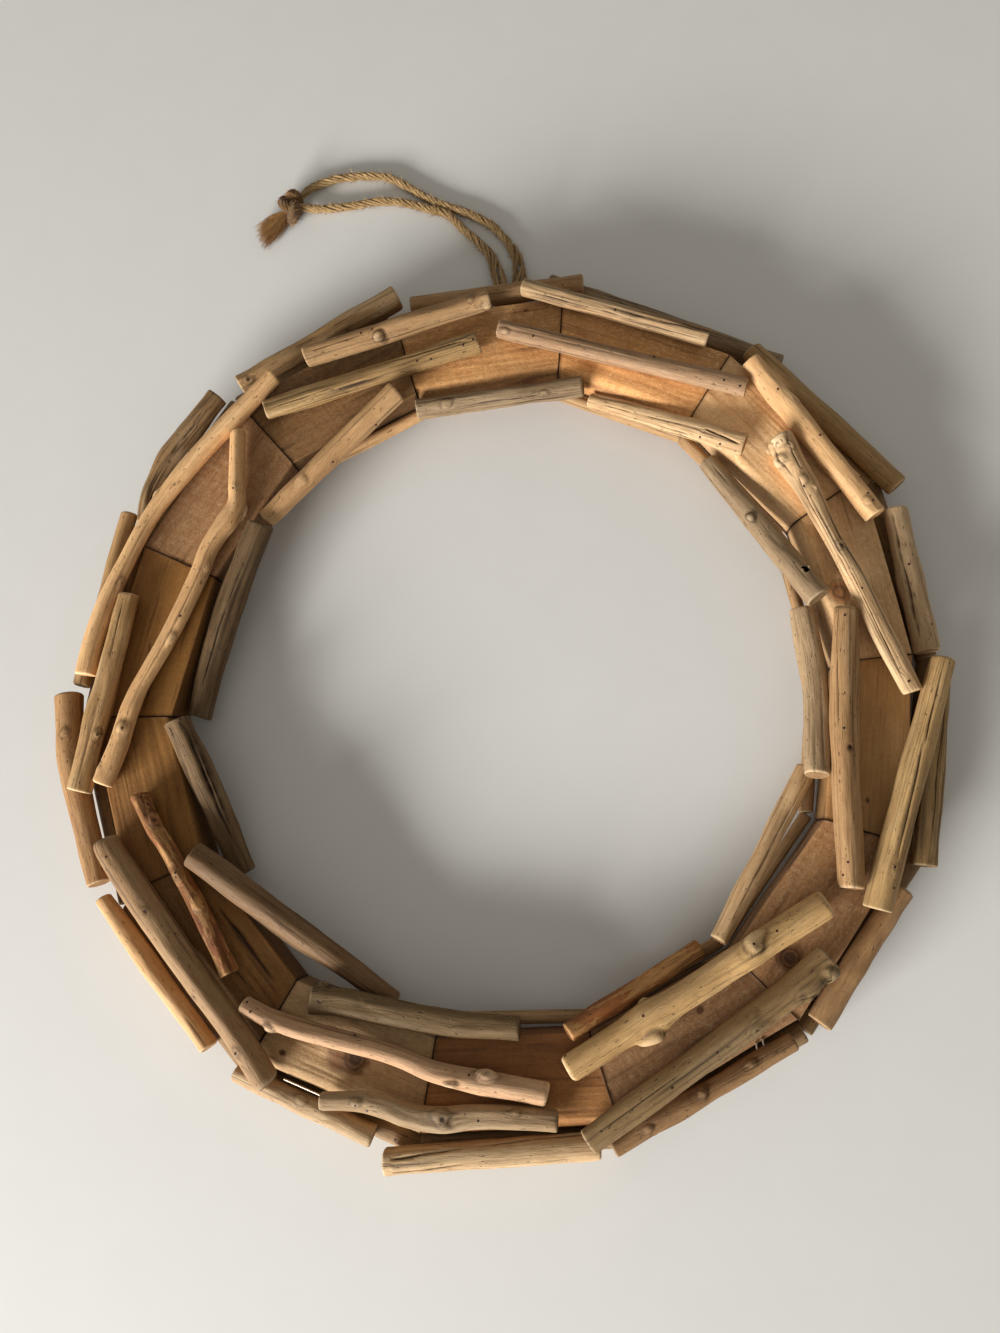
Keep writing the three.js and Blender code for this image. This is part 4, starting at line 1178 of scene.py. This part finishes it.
class Board:
    """A board in the making."""

    def __init__(self, node, number):
        self.node, self.seed = node, BOARD_SEED + number
        self.shade = BOARD_SHADES[number - 1]
        self.draw = np.random.default_rng(self.seed)
        self.levels = board_levels(node)
        inside = board_blank.rings + 1 - 2 * len(CAP_INSETS)
        start, end = self.levels[0][:2, :2]
        self.length = float(np.linalg.norm(end - start))
        edge = BOARD_EDGE_MM * MM / self.length
        cap = np.array([0, 0, 0, edge])
        even = np.linspace(edge, 1 - edge, inside + 2)[1:-1]
        self.share = np.r_[cap, even, 1 - cap[::-1]]
        self.inset = np.r_[CAP_INSETS, np.ones(inside), CAP_INSETS[::-1]]
        self.places = self.wrap()
        self.out = self.directions()
        self.dark, self.worn, self.knots, self.push = np.zeros((4, *self.places.shape[:2]))

    def wrap(self):
        """The blank's points, wrapped round the board's section at each ring."""
        inner_start, inner_end, outer_end, outer_start = self.levels.transpose(1, 0, 2)
        rings = []
        for share, inset in zip(self.share, self.inset):
            inner = inner_start + (inner_end - inner_start) * share
            outer = outer_start + (outer_end - outer_start) * share
            corners = np.vstack([(inner[3] + outer[3]) / 2, inner[::-1], outer])
            counts = (TOP_HALF, *EDGE_COLUMNS, UNDERSIDE, *EDGE_COLUMNS[::-1], TOP_REST)
            ring = go_round(corners, counts)
            for _ in range(2):
                ring = (np.roll(ring, 1, axis=0) + 2 * ring + np.roll(ring, -1, axis=0)) / 4
            centre = ring.mean(axis=0)
            rings.append(centre + (ring - centre) * inset)
        return np.array(rings)

    def directions(self):
        """The way out of the board at each point."""
        around = np.roll(self.places, -1, axis=1) - np.roll(self.places, 1, axis=1)
        steady = self.places[len(self.places) * 2 // 3] - self.places[len(self.places) // 3]
        along = np.broadcast_to(steady, self.places.shape)
        out = np.cross(around, along)
        return out / np.maximum(np.linalg.norm(out, axis=2), 1e-12)[..., None]

    def away_from(self, x, y):
        """How far each point is from the place on the face that shows at a place in the picture."""
        point = np.array(place_at(x, y, self.levels[-1][0][2]))
        return np.linalg.norm(self.places - point, axis=2)

    def knot(self, x, y, size, depth):
        """A knot: dark and sunk with a depth above nothing, a pale swelling with one below."""
        uneven = 1 + 0.14 * unevenness(self.draw, *self.places.shape[:2], 4, 3)
        away = self.away_from(x, y) / (size * MM) * uneven
        strength = min(1, 0.35 + abs(depth))
        self.knots = np.maximum(self.knots, np.clip(1.3 - away, 0, 1) * strength)
        if depth < 0:
            self.worn += 0.6 * np.exp(-(away**2))
            self.push += 0.5 * MM * np.exp(-(away**2))
            return
        rim = np.exp(-(((away - 1.1) / 0.2) ** 2))
        self.dark += 0.6 * depth * np.exp(-((away * 1.5) ** 4)) + 0.2 * depth * rim
        self.push -= 0.3 * MM * depth * np.exp(-((away / 0.5) ** 2))

    def crack(self, start, end, width, depth):
        """A crack between two places in the picture, which narrows at both ends."""
        top = self.levels[-1][0][2]
        ends = [np.array(place_at(x, y, top)) for x, y in (start, end)]
        run = ends[1] - ends[0]
        share = np.clip((self.places - ends[0]) @ run / (run @ run), 0, 1)
        wander = unevenness(self.draw, len(self.places), 4, 2, 1)[:, :1] * 0.5 * MM
        gap = np.linalg.norm(self.places - ends[0] - share[..., None] * run, axis=2)
        valley = np.exp(-(((gap + wander * 0.4) / (width * 1.6 * MM)) ** 2))
        valley = valley * smoothstep(share * 8) * smoothstep((1 - share) * 8)
        # The crack's valley is marked dark: painted shade inside it.
        self.dark += valley
        self.push -= depth * 0.6 * MM * valley

    def made(self):
        """The finished board, with its fibres, dark ends, and painted shade on its inner wall and
        low fibres.
        """
        shape = self.places.shape[:2]
        fibres = unevenness(self.draw, *shape, 6, 0.8)
        swells = unevenness(self.draw, *shape, 10, 7)
        body = (self.inset >= 1).astype(float)[:, None]
        relief = fibres * SAWN_FIBRE_MM + swells * SWELL_MM - SUNK_MM
        self.push += relief * MM * body
        # The lowest fibres are marked dark: painted shade.
        self.dark += np.clip(-fibres - 1.3, 0, 1) * 0.35
        self.worn += np.clip(fibres - 1.2, 0, 1) * 0.3
        to_middle = self.places - RING_CENTRE * MM
        facing = -(self.out * to_middle).sum(axis=2) / np.linalg.norm(to_middle, axis=2)
        # The inner wall, which faces the ring's middle, is marked darker: painted shade.
        self.dark += 0.45 * smoothstep(np.clip(facing, 0, 1) * 1.6 - 0.5)
        near_end = np.minimum(self.share, 1 - self.share) * self.length
        self.dark += 0.85 * np.exp(-((near_end / (DARK_END_MM * MM)) ** 2))[:, None]
        places = self.places + self.out * self.push[..., None]
        places[..., 2] = np.clip(places[..., 2], 0, None)
        across = np.linalg.norm(to_middle[..., :2], axis=2)
        forward = self.places[-5].mean(axis=0) - self.places[4].mean(axis=0)
        forward /= np.linalg.norm(forward)
        from_start = self.places - self.places[0].mean(axis=0)
        out = np.cross(forward, (0, 0, 1))
        along = from_start @ forward + 0.53 * self.seed
        grain = np.stack([from_start @ out, self.places[..., 2], along], axis=2)
        low, high = across[4:-4].min(), across[4:-4].max()
        marks = {
            "grain": grain, "dark": np.clip(self.dark, 0, 1), "worn": np.clip(self.worn, 0, 1),
            "cut": np.broadcast_to((self.inset < 1).astype(float)[:, None], shape).copy(),
            "knots": self.knots, "outward": (across - low) / (high - low),
            "shade": np.full(shape, self.shade),
        }
        return board_blank.shaped(self.node + "_wood", places, marks)


boards = {}
for number in range(1, len(BOARD_SHADES) + 1):
    node = f"board_{number:02d}"
    board = Board(node, number)
    for knot_notes in BOARD_KNOTS.get(number, ()):
        board.knot(*knot_notes)
    for crack_notes in BOARD_CRACKS.get(number, ()):
        board.crack(*crack_notes)
    piece = board.made()
    piece.data.set_sharp_from_angle(angle=SHARP_ANGLE)
    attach(piece, BODY)
    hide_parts(node)
    boards[node] = piece
print("boards:", len(boards))

# %% [markdown]
# ## Nail heads
# Each stick is held by small brad nails, whose dark heads show as dots. One head is modelled: a
# short cylinder with its rim bevelled. A copy goes wherever the picture shows a dot, turned to lie
# flat on what is under it, and all of them are joined into one piece.

# %% Set the nails
NAIL_PLACES = [
    (361, 333), (372, 329), (615, 310), (778, 389), (820, 435), (868, 493), (873, 500),
    (895, 867), (894, 888), (757, 1031), (717, 1053), (672, 1088), (601, 1131), (355, 1106),
    (367, 1111), (478, 1121), (106, 857), (145, 911), (183, 972), (235, 1054), (340, 389),
    (417, 361), (431, 359), (463, 345), (473, 339), (533, 336), (654, 356), (724, 380),
    (740, 386), (804, 486), (862, 588), (909, 681), (845, 615), (844, 728), (848, 862),
    (843, 875), (565, 1056), (643, 1016), (754, 944), (777, 931), (247, 1002), (250, 1012),
    (355, 1035), (469, 1075), (141, 797), (175, 873), (233, 488), (180, 616), (122, 728),
    (333, 462), (376, 425), (395, 1140), (909, 564), (932, 624), (700, 437), (720, 444),
    (97, 735), (102, 734), (276, 493), (764, 898),
]
NAIL_RADIUS_MM = 0.55
NAIL_DEPTH_MM = 0.5
NAIL_BEVEL_MM = 0.15

bpy.ops.object.select_all(action="DESELECT")
bpy.ops.mesh.primitive_cylinder_add(
    vertices=12, radius=NAIL_RADIUS_MM * MM, depth=NAIL_DEPTH_MM * MM
)
nail = bpy.context.object
bpy.context.tool_settings.mesh_select_mode = (False, True, False)
for edge in nail.data.edges:
    ends = [nail.data.vertices[i].co.z for i in edge.vertices]
    edge.select = min(ends) > 0
bpy.ops.object.mode_set(mode="EDIT")
bpy.ops.mesh.bevel(offset=NAIL_BEVEL_MM * MM, segments=2)
bpy.ops.object.mode_set(mode="OBJECT")

nails = []
bpy.context.view_layer.update()
for x, y in NAIL_PLACES:
    hit, spot, normal, *_ = bpy.context.scene.ray_cast(
        bpy.context.evaluated_depsgraph_get(), EYE, ray_through(x, y)
    )
    if not hit:
        print("no wood at", x, y)
        continue
    copy = bpy.data.objects.new("nail", nail.data.copy())
    bpy.context.scene.collection.objects.link(copy)
    turn = Vector((0, 0, 1)).rotation_difference(normal).to_matrix().to_4x4()
    copy.data.transform(Matrix.Translation(spot - normal * NAIL_BEVEL_MM * MM) @ turn)
    nails.append(copy)
bpy.data.objects.remove(nail)
nail_heads = join("nail_heads", nails)
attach(nail_heads, BODY)
print("nails:", len(nails))

# %% [markdown]
# ## Three bright pins
# A long thin nail lies across the gap by the lower left sticks, and two short pins stand out of the
# lower right ones. They are still bright. Each is a thin rod from one place to another, so each is
# a cylinder turned to the line between its two ends. An end is a place in the picture and a height
# in mm.

# %% Lay the bright pins
PIN_ENDS = [
    ((284, 1079, 18), (320, 1095, 18)), ((757, 1049, 16), (756, 1042, 20)),
    ((764, 1045, 16), (762, 1038, 20)),
]
PIN_RADIUS_MM = 0.38

pins = []
for ends in PIN_ENDS:
    low, high = (place_at(x, y, height * MM) for x, y, height in ends)
    way = high - low
    bpy.ops.object.select_all(action="DESELECT")
    bpy.ops.mesh.primitive_cylinder_add(
        vertices=10, radius=PIN_RADIUS_MM * MM, depth=way.length
    )
    pin = bpy.context.object
    turn = Vector((0, 0, 1)).rotation_difference(way.normalized()).to_matrix().to_4x4()
    pin.data.transform(Matrix.Translation((low + high) / 2) @ turn)
    pins.append(pin)
bright_pins = join("bright_pins", pins)
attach(bright_pins, BODY)
print("pins:", len(pins))

# %% [markdown]
# ## The finish of driftwood
# Driftwood has lost its bark, and water has rubbed it smooth. Its colour changes slowly along the
# stick, with fine streaks and short dark flecks along the grain. One function draws all of that
# from the grain mark, where every stick is straight, so that the streaks follow each bend. Fine
# hairline cracks are painted dark, as their shade. The dark mark then paints shade into the
# cracks, hollows and holes and darkens the knots' rims, and the worn and cut marks add the rubbed
# ridges and the sawn ends. Each kind of wood calls it with its own colours.

# %% Helpers for finishes
def tone(code):
    """A colour written as six hexadecimal digits, as the shader wants it."""
    parts = [int(code[i:i + 2], 16) / 255 for i in (0, 2, 4)]
    return tuple(v / 12.92 if v <= 0.04045 else ((v + 0.055) / 1.055) ** 2.4 for v in parts) + (1,)


class Finish:
    """A material in the making. Each method adds a node and gives back what comes out of it."""

    def __init__(self, name):
        self.material = bpy.data.materials.new(name)
        self.material.use_nodes = True
        self.tree = self.material.node_tree
        self.shader = self.tree.nodes["Principled BSDF"]

    def add(self, kind, values, **settings):
        node = self.tree.nodes.new(kind)
        for key, value in settings.items():
            setattr(node, key, value)
        for key, value in values.items():
            self.put(node.inputs[key], value)
        return node

    def put(self, socket, value):
        if isinstance(value, bpy.types.NodeSocket):
            self.tree.links.new(value, socket)
        else:
            socket.default_value = value

    def mark(self, name, output="Fac"):
        return self.add("ShaderNodeAttribute", {}, attribute_name=name).outputs[output]

    def stretched(self, vector, scale, turn=(0, 0, 0)):
        values = {"Vector": vector, "Scale": scale, "Rotation": turn}
        return self.add("ShaderNodeMapping", values).outputs["Vector"]

    def object_place(self):
        return self.add("ShaderNodeTexCoord", {}).outputs["Object"]

    def noise(self, vector, scale, detail=2, roughness=0.5, distortion=0, turn=(0, 0, 0)):
        values = {
            "Vector": self.stretched(vector, scale, turn), "Scale": 1, "Detail": detail,
            "Roughness": roughness, "Distortion": distortion,
        }
        return self.add("ShaderNodeTexNoise", values).outputs["Fac"]

    def waves(self, vector, distortion):
        values = {"Vector": vector, "Scale": 1, "Distortion": distortion, "Detail": 2}
        return self.add("ShaderNodeTexWave", values, bands_direction="Z").outputs["Fac"]

    def between(self, value, low, high, new_low=0, new_high=1):
        values = {
            "Value": value, "From Min": low, "From Max": high, "To Min": new_low,
            "To Max": new_high,
        }
        return self.add("ShaderNodeMapRange", values).outputs["Result"]

    def maths(self, operation, a, b):
        node = self.add("ShaderNodeMath", {}, operation=operation)
        self.put(node.inputs[0], a)
        self.put(node.inputs[1], b)
        return node.outputs["Value"]

    def mix(self, share, a, b):
        node = self.add("ShaderNodeMix", {}, data_type="RGBA")
        for index, value in ((0, share), (6, a), (7, b)):
            self.put(node.inputs[index], value)
        return node.outputs[2]

    def tint(self, colour, code, share, strength):
        """A colour with another one laid over it, where share says, at a strength."""
        return self.mix(self.maths("MULTIPLY", share, strength), colour, tone(code))

    def shaded(self, colour):
        """A colour made lighter or darker by the piece's own shade mark, which is partly its wood's
        tone and partly painted light and shade.
        """
        values = {"Vector": colour, "Scale": self.mark("shade")}
        return self.add("ShaderNodeVectorMath", values, operation="SCALE").outputs["Vector"]

    def finish(self, colour, roughness, height, depth):
        bump = self.add("ShaderNodeBump", {"Height": height, "Distance": depth, "Strength": 1.0})
        self.put(self.shader.inputs["Base Color"], colour)
        self.put(self.shader.inputs["Roughness"], roughness)
        self.put(self.shader.inputs["Normal"], bump.outputs["Normal"])
        self.shader.inputs["Specular IOR Level"].default_value = 0.3
        return self.material


# %% The driftwood finish
CRACK_AND_SHADE_TONE = "3a2412"
CUT_TONE = "b08656"
SKIN_BUMP_MM = 0.22


def driftwood(name, light, middle, dark, patch=None, rubbed="ead0a8"):
    """Water-worn wood: a light and a middle tone in slow change, with streaks of a dark one."""
    f = Finish(name)
    grain, streaky = f.mark("grain", "Vector"), f.mark("streaky")
    slow = f.noise(grain, (90, 90, 16), 3, 0.6)
    mottle = f.noise(grain, (380, 380, 130), 4, 0.7)
    streaks = f.noise(grain, (620, 620, 15), 4, 0.65)
    lines = f.noise(grain, (1500, 1500, 14), 3, 0.55)
    fibres = f.noise(grain, (2600, 2600, 160), 3, 0.6)
    pits = f.noise(grain, (1250, 1250, 380), 1, 0.5, turn=(0.3, 0.2, 0))
    colour = f.mix(f.between(slow, 0.35, 0.65), tone(middle), tone(light))
    if patch:
        blotch = f.noise(grain, (190, 190, 48), 5, 0.7, turn=(0, 0, 0.4))
        colour = f.mix(f.between(blotch, 0.49, 0.53), colour, tone(patch))
    colour = f.tint(colour, dark, f.between(mottle, 0.46, 0.72), 0.38)
    colour = f.tint(colour, dark, f.between(streaks, 0.5, 0.72), streaky)
    # Hairline cracks have no depth in the skin: their dark is painted shade.
    hairline = f.maths("MULTIPLY", f.between(lines, 0.6, 0.68), streaky)
    colour = f.tint(colour, CRACK_AND_SHADE_TONE, hairline, 0.8)
    colour = f.tint(colour, dark, f.between(fibres, 0.5, 0.72), 0.45)
    colour = f.tint(colour, light, f.between(fibres, 0.46, 0.3), 0.35)
    colour = f.tint(colour, rubbed, f.mark("worn"), 0.7)
    colour = f.tint(colour, CRACK_AND_SHADE_TONE, f.between(pits, 0.7, 0.76), 0.6)
    ends = f.noise(grain, (900, 900, 0), 3, 0.7)
    cut_colour = f.mix(f.between(ends, 0.35, 0.65), tone(CUT_TONE), tone(dark))
    colour = f.mix(f.maths("MULTIPLY", f.mark("cut"), 0.6), colour, cut_colour)
    # The dark mark: painted shade in hollows, cracks, lines and holes, and the darker rims of
    # knots.
    colour = f.mix(f.mark("dark"), colour, tone(CRACK_AND_SHADE_TONE))
    height = f.maths("ADD", f.maths("MULTIPLY", fibres, 0.7), f.maths("MULTIPLY", streaks, 0.6))
    height = f.maths("ADD", height, f.maths("MULTIPLY", mottle, 0.7))
    height = f.maths("SUBTRACT", height, f.between(pits, 0.68, 0.76))
    height = f.maths("SUBTRACT", height, hairline)
    shaded = f.shaded(colour)
    roughness = f.between(fibres, 0.3, 0.7, 0.6, 0.76)
    return f.finish(shaded, roughness, height, SKIN_BUMP_MM * MM)


def paint(piece, material):
    """Gives a piece its one material."""
    piece.data.materials.clear()
    piece.data.materials.append(material)


WOOD_TONES = {
    "tan_driftwood": ("d9ac77", "c59663", "8e6236"),
    "pale_driftwood": ("e4c192", "cfa474", "946839"),
    "olive_driftwood": ("cda56c", "b68c55", "7c5a2e"),
    "brown_driftwood": ("b58c5c", "967140", "5f3f20"),
    "pink_driftwood": ("cba37c", "b58a65", "7d583a"),
    "red_driftwood": ("ab6834", "854821", "46220d", "d09a5e", "d8a46a"),
    "grey_driftwood": ("c4a47d", "aa8a64", "6e5337"),
    "orange_driftwood": ("d29f68", "bd8b56", "86552a"),
}
WOODS = {name: driftwood(name, *tones) for name, tones in WOOD_TONES.items()}
# Two sticks on the shaded inner side take the brown finish instead of their own kind's: its redder
# tone is painted light, the warm light bounced into their shade.
WARM_SHADE_PAINTED_BROWN = ("inner_side_09", "inner_side_10")
for node, piece in sticks.items():
    paint(piece, WOODS["brown_driftwood" if node in WARM_SHADE_PAINTED_BROWN else SLOT_OF[node]])
for piece in outer_row:
    paint(piece, WOODS["brown_driftwood"])
for piece in inner_row:
    paint(piece, WOODS["tan_driftwood"])
print("woods:", ", ".join(WOODS))

# %% [markdown]
# ## The finish of the boards
# The boards are the same wood inside, with a wider grain and a fuzzy sawn face. Faint marks cross
# the grain where the saw passed. Many boards are browner near the outer edge than near the inner
# one, so two colours meet along a wandering line.

# %% The board finish
GAP_AND_SHADE_TONE = "3b2210"
RUBBED_TONE = "d9ac74"
KNOT_TONES = ("4d2b14", "8b5b32")
FACE_BUMP_MM = 0.18


def sawn_board(name, inner, outer, dark, curly, fibre="e2b883"):
    """Sawn wood: one tone near the inner edge and one near the outer edge, with curly fibres."""
    f = Finish(name)
    grain = f.mark("grain", "Vector")
    wander = f.noise(grain, (50, 50, 22), 3, 0.6)
    place = f.maths("ADD", f.mark("outward"), f.maths("MULTIPLY", wander, 0.7))
    base = f.mix(f.between(place, 0.7, 1), tone(inner), tone(outer))
    cloud = f.noise(grain, (120, 120, 60), 4, 0.65)
    broad = f.noise(grain, (260, 260, 8), 4, 0.6, 0.4, turn=(0, 0.05, 0))
    lines = f.noise(grain, (1400, 1400, 35), 4, 0.65)
    curls = f.noise(grain, (330, 330, 190), 4, 0.7, 1.6, turn=(0, 0.5, 0))
    tangle = f.noise(grain, (420, 420, 340), 1, 0.5, 1.2)
    fuzz = f.noise(grain, (1300, 1300, 800), 3, 0.7)
    saw_marks = f.waves(f.stretched(grain, (25, 25, 90), (0, 0.5, 0)), 9)
    pores = f.noise(grain, (1400, 1400, 320), 1, 0.5)
    colour = f.mix(f.maths("MULTIPLY", f.between(cloud, 0.45, 0.7), 0.35), base, tone(dark))
    colour = f.tint(colour, dark, f.between(broad, 0.47, 0.7), 0.4)
    colour = f.tint(colour, dark, f.between(lines, 0.5, 0.72), 0.4)
    colour = f.tint(colour, fibre, f.between(curls, 0.52, 0.66), curly * 0.6)
    colour = f.tint(colour, dark, f.between(curls, 0.46, 0.34), curly * 0.7)
    colour = f.tint(colour, dark, f.between(fuzz, 0.5, 0.72), 0.45)
    thin = f.between(f.maths("ABSOLUTE", f.maths("SUBTRACT", tangle, 0.5), 0), 0.022, 0.006)
    stray = f.maths("MULTIPLY", thin, f.between(fuzz, 0.42, 0.56))
    colour = f.tint(colour, fibre, stray, curly * 1.4)
    colour = f.tint(colour, dark, saw_marks, curly * 0.12)
    colour = f.tint(colour, RUBBED_TONE, f.mark("worn"), 0.4)
    colour = f.tint(colour, GAP_AND_SHADE_TONE, f.between(pores, 0.7, 0.76), 0.5)
    spread = f.maths("ADD", f.mark("knots"), f.maths("MULTIPLY", cloud, 0.25))
    depth = f.add("ShaderNodeCombineXYZ", {"Z": f.maths("MULTIPLY", spread, 0.9)})
    rings = f.waves(depth.outputs[0], 0.4)
    knot_share = f.between(f.mark("knots"), 0.05, 0.4, 0, 0.9)
    colour = f.mix(knot_share, colour, f.mix(rings, *map(tone, KNOT_TONES)))
    # The dark mark: the joints and knot centres, and painted shade on the inner wall, the low
    # fibres and in cracks.
    colour = f.mix(f.mark("dark"), colour, tone(GAP_AND_SHADE_TONE))
    height = f.maths("ADD", f.maths("MULTIPLY", lines, 0.6), f.maths("MULTIPLY", fuzz, 0.6))
    height = f.maths("ADD", height, f.maths("MULTIPLY", curls, curly * 1.4))
    height = f.maths("ADD", height, f.maths("MULTIPLY", saw_marks, curly * 0.25))
    shaded = f.shaded(colour)
    roughness = f.between(fuzz, 0.3, 0.7, 0.65, 0.82)
    return f.finish(shaded, roughness, height, FACE_BUMP_MM * MM)


BOARD_TONES = {
    "tan": ("cf9d62", "c5975f", "996635", 0.15),
    "two_tone": ("cb945c", "ae8354", "855830", 0.55),
    "light": ("dcb585", "cfa878", "a67a4a", 0.6, "e8c69a"),
    "pink": ("c99664", "c09062", "8e5f38", 0.6, "e6c096"),
    "red": ("8f6038", "a3713f", "4f2e17", 0.3, "a06c3c"),
    "brown": ("c58a48", "ae7a3e", "7d5124", 0.25),
    "warm": ("cf9146", "c68b49", "8f5924", 0.3, "dfa862"),
}
BOARD_WOODS = {look: sawn_board("board_" + look, *tones) for look, tones in BOARD_TONES.items()}
BOARD_LOOK = (
    "two_tone", "two_tone", "light", "light", "tan", "pink", "pink",
    "red", "light", "brown", "warm", "warm", "pink", "two_tone",
)
for piece, look in zip(boards.values(), BOARD_LOOK):
    paint(piece, BOARD_WOODS[look])
print("board finishes:", len(BOARD_WOODS))

# %% [markdown]
# ## The finish of the twine and the nails
# Jute is a golden, dull fibre. Its colour changes in short streaks along the fibres' own slant,
# and it has a soft sheen where light skims it. The nails are dark iron with a little rust, and the
# three pins are steel that is still bright.

# %% Twine and nails
def jute(name, light, middle, dark, scale):
    """Dull fibre with a soft sheen. The scale says how fine its streaks are."""
    f = Finish(name)
    grain = f.mark("grain", "Vector")
    fibres = f.noise(grain, scale, 4, 0.7)
    slow = f.noise(grain, tuple(v * 0.2 for v in scale), 2)
    colour = f.mix(f.between(slow, 0.35, 0.65), tone(middle), tone(light))
    colour = f.mix(f.between(fibres, 0.42, 0.75), colour, tone(dark))
    f.shader.inputs["Sheen Weight"].default_value = 0.25
    f.shader.inputs["Sheen Roughness"].default_value = 0.5
    return f.finish(colour, 0.9, fibres, 0.25 * MM)


cord_jute = jute("jute_cord", "c2a070", "a08152", "5c4326", (2600, 2600, 130))
# The knot's jute is darker than the cord's: partly its own colour, partly painted shade in the
# tight lump.
knot_jute = jute("jute_knot", "7c5b31", "5a4122", "281a0c", (2200, 2200, 110))
frayed_jute = jute("jute_frayed", "b08148", "80582b", "412812", (420, 420, 420))
loose_jute = jute("jute_hairs", "cfae7b", "a17f4f", "6b4d2a", (300, 300, 300))
for piece, material in (
    (upper_cord, cord_jute), (lower_cord, cord_jute), (knot, knot_jute), (tail, frayed_jute),
    (hairs, loose_jute), (knot_hairs, frayed_jute),
):
    paint(piece, material)

f = Finish("nail_iron")
rust = f.noise(f.object_place(), (900, 900, 900), 2)
paint(nail_heads, f.finish(f.mix(rust, tone("1d1612"), tone("4a2f1d")), 0.6, rust, 0.05 * MM))

f = Finish("pin_steel")
wear = f.noise(f.object_place(), (700, 700, 700), 2)
paint(bright_pins, f.finish(f.mix(wear, tone("cdbfb0"), tone("8d7460")), 0.36, wear, 0.03 * MM))
f.shader.inputs["Metallic"].default_value = 0.8
print("finishes:", len(bpy.data.materials))

# %% [markdown]
# ## Floor and light
# The picture was taken by daylight from a window at the lower left. A large soft lamp stands there,
# and a pale sky fills the shadows. The floor is plain and pale.

# %% Floor
FLOOR_SIZE = 6

bpy.ops.object.select_all(action="DESELECT")
bpy.ops.mesh.primitive_plane_add(size=FLOOR_SIZE, location=(0, 0, 0))
floor = bpy.context.object
floor.name = "floor"
f = Finish("floor_pale")
plaster = f.noise(f.object_place(), (40, 40, 40), 3)
paint(floor, f.finish(f.mix(plaster, tone("d9d8d4"), tone("dddcd9")), 0.7, plaster, 0.05 * MM))

# %% Light
LAMP_PLACE = (-1.5, -1.8, 0.72)
LAMP_SIZE = (1.4, 0.6)
LAMP_WATTS = 124
LAMP_COLOUR = (1, 0.99, 0.97)
SKY_COLOUR = (1.0, 0.95, 0.86, 1)
SKY_STRENGTH = 0.33


def window(name, place, aim, size, power, colour):
    """A large soft lamp, turned to what it lights."""
    bpy.ops.object.select_all(action="DESELECT")
    bpy.ops.object.light_add(type="AREA", location=place)
    lamp = bpy.context.object
    lamp.name = name
    lamp.rotation_euler = (Vector(aim) - Vector(place)).to_track_quat("-Z", "Y").to_euler()
    lamp.data.shape = "RECTANGLE"
    lamp.data.size, lamp.data.size_y = size
    lamp.data.energy = power
    lamp.data.color = colour


window("window_light", LAMP_PLACE, (0, 0, 0), LAMP_SIZE, LAMP_WATTS, LAMP_COLOUR)
sky = bpy.data.worlds.new("sky")
bpy.context.scene.world = sky
sky.use_nodes = True
sky.node_tree.nodes["Background"].inputs["Color"].default_value = SKY_COLOUR
sky.node_tree.nodes["Background"].inputs["Strength"].default_value = SKY_STRENGTH
bpy.context.scene.view_settings.view_transform = "Standard"

# %% [markdown]
# ## Measure and finish
# The faces of the finished pieces are counted. The finished model has to stay in the
# imported model's box.

# %% Measure and finish
bpy.context.view_layer.update()
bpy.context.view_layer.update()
shown = [o for o in bpy.context.scene.objects if o.type == "MESH" and not o.hide_render]
print("faces:", sum(len(piece.data.polygons) for piece in shown))
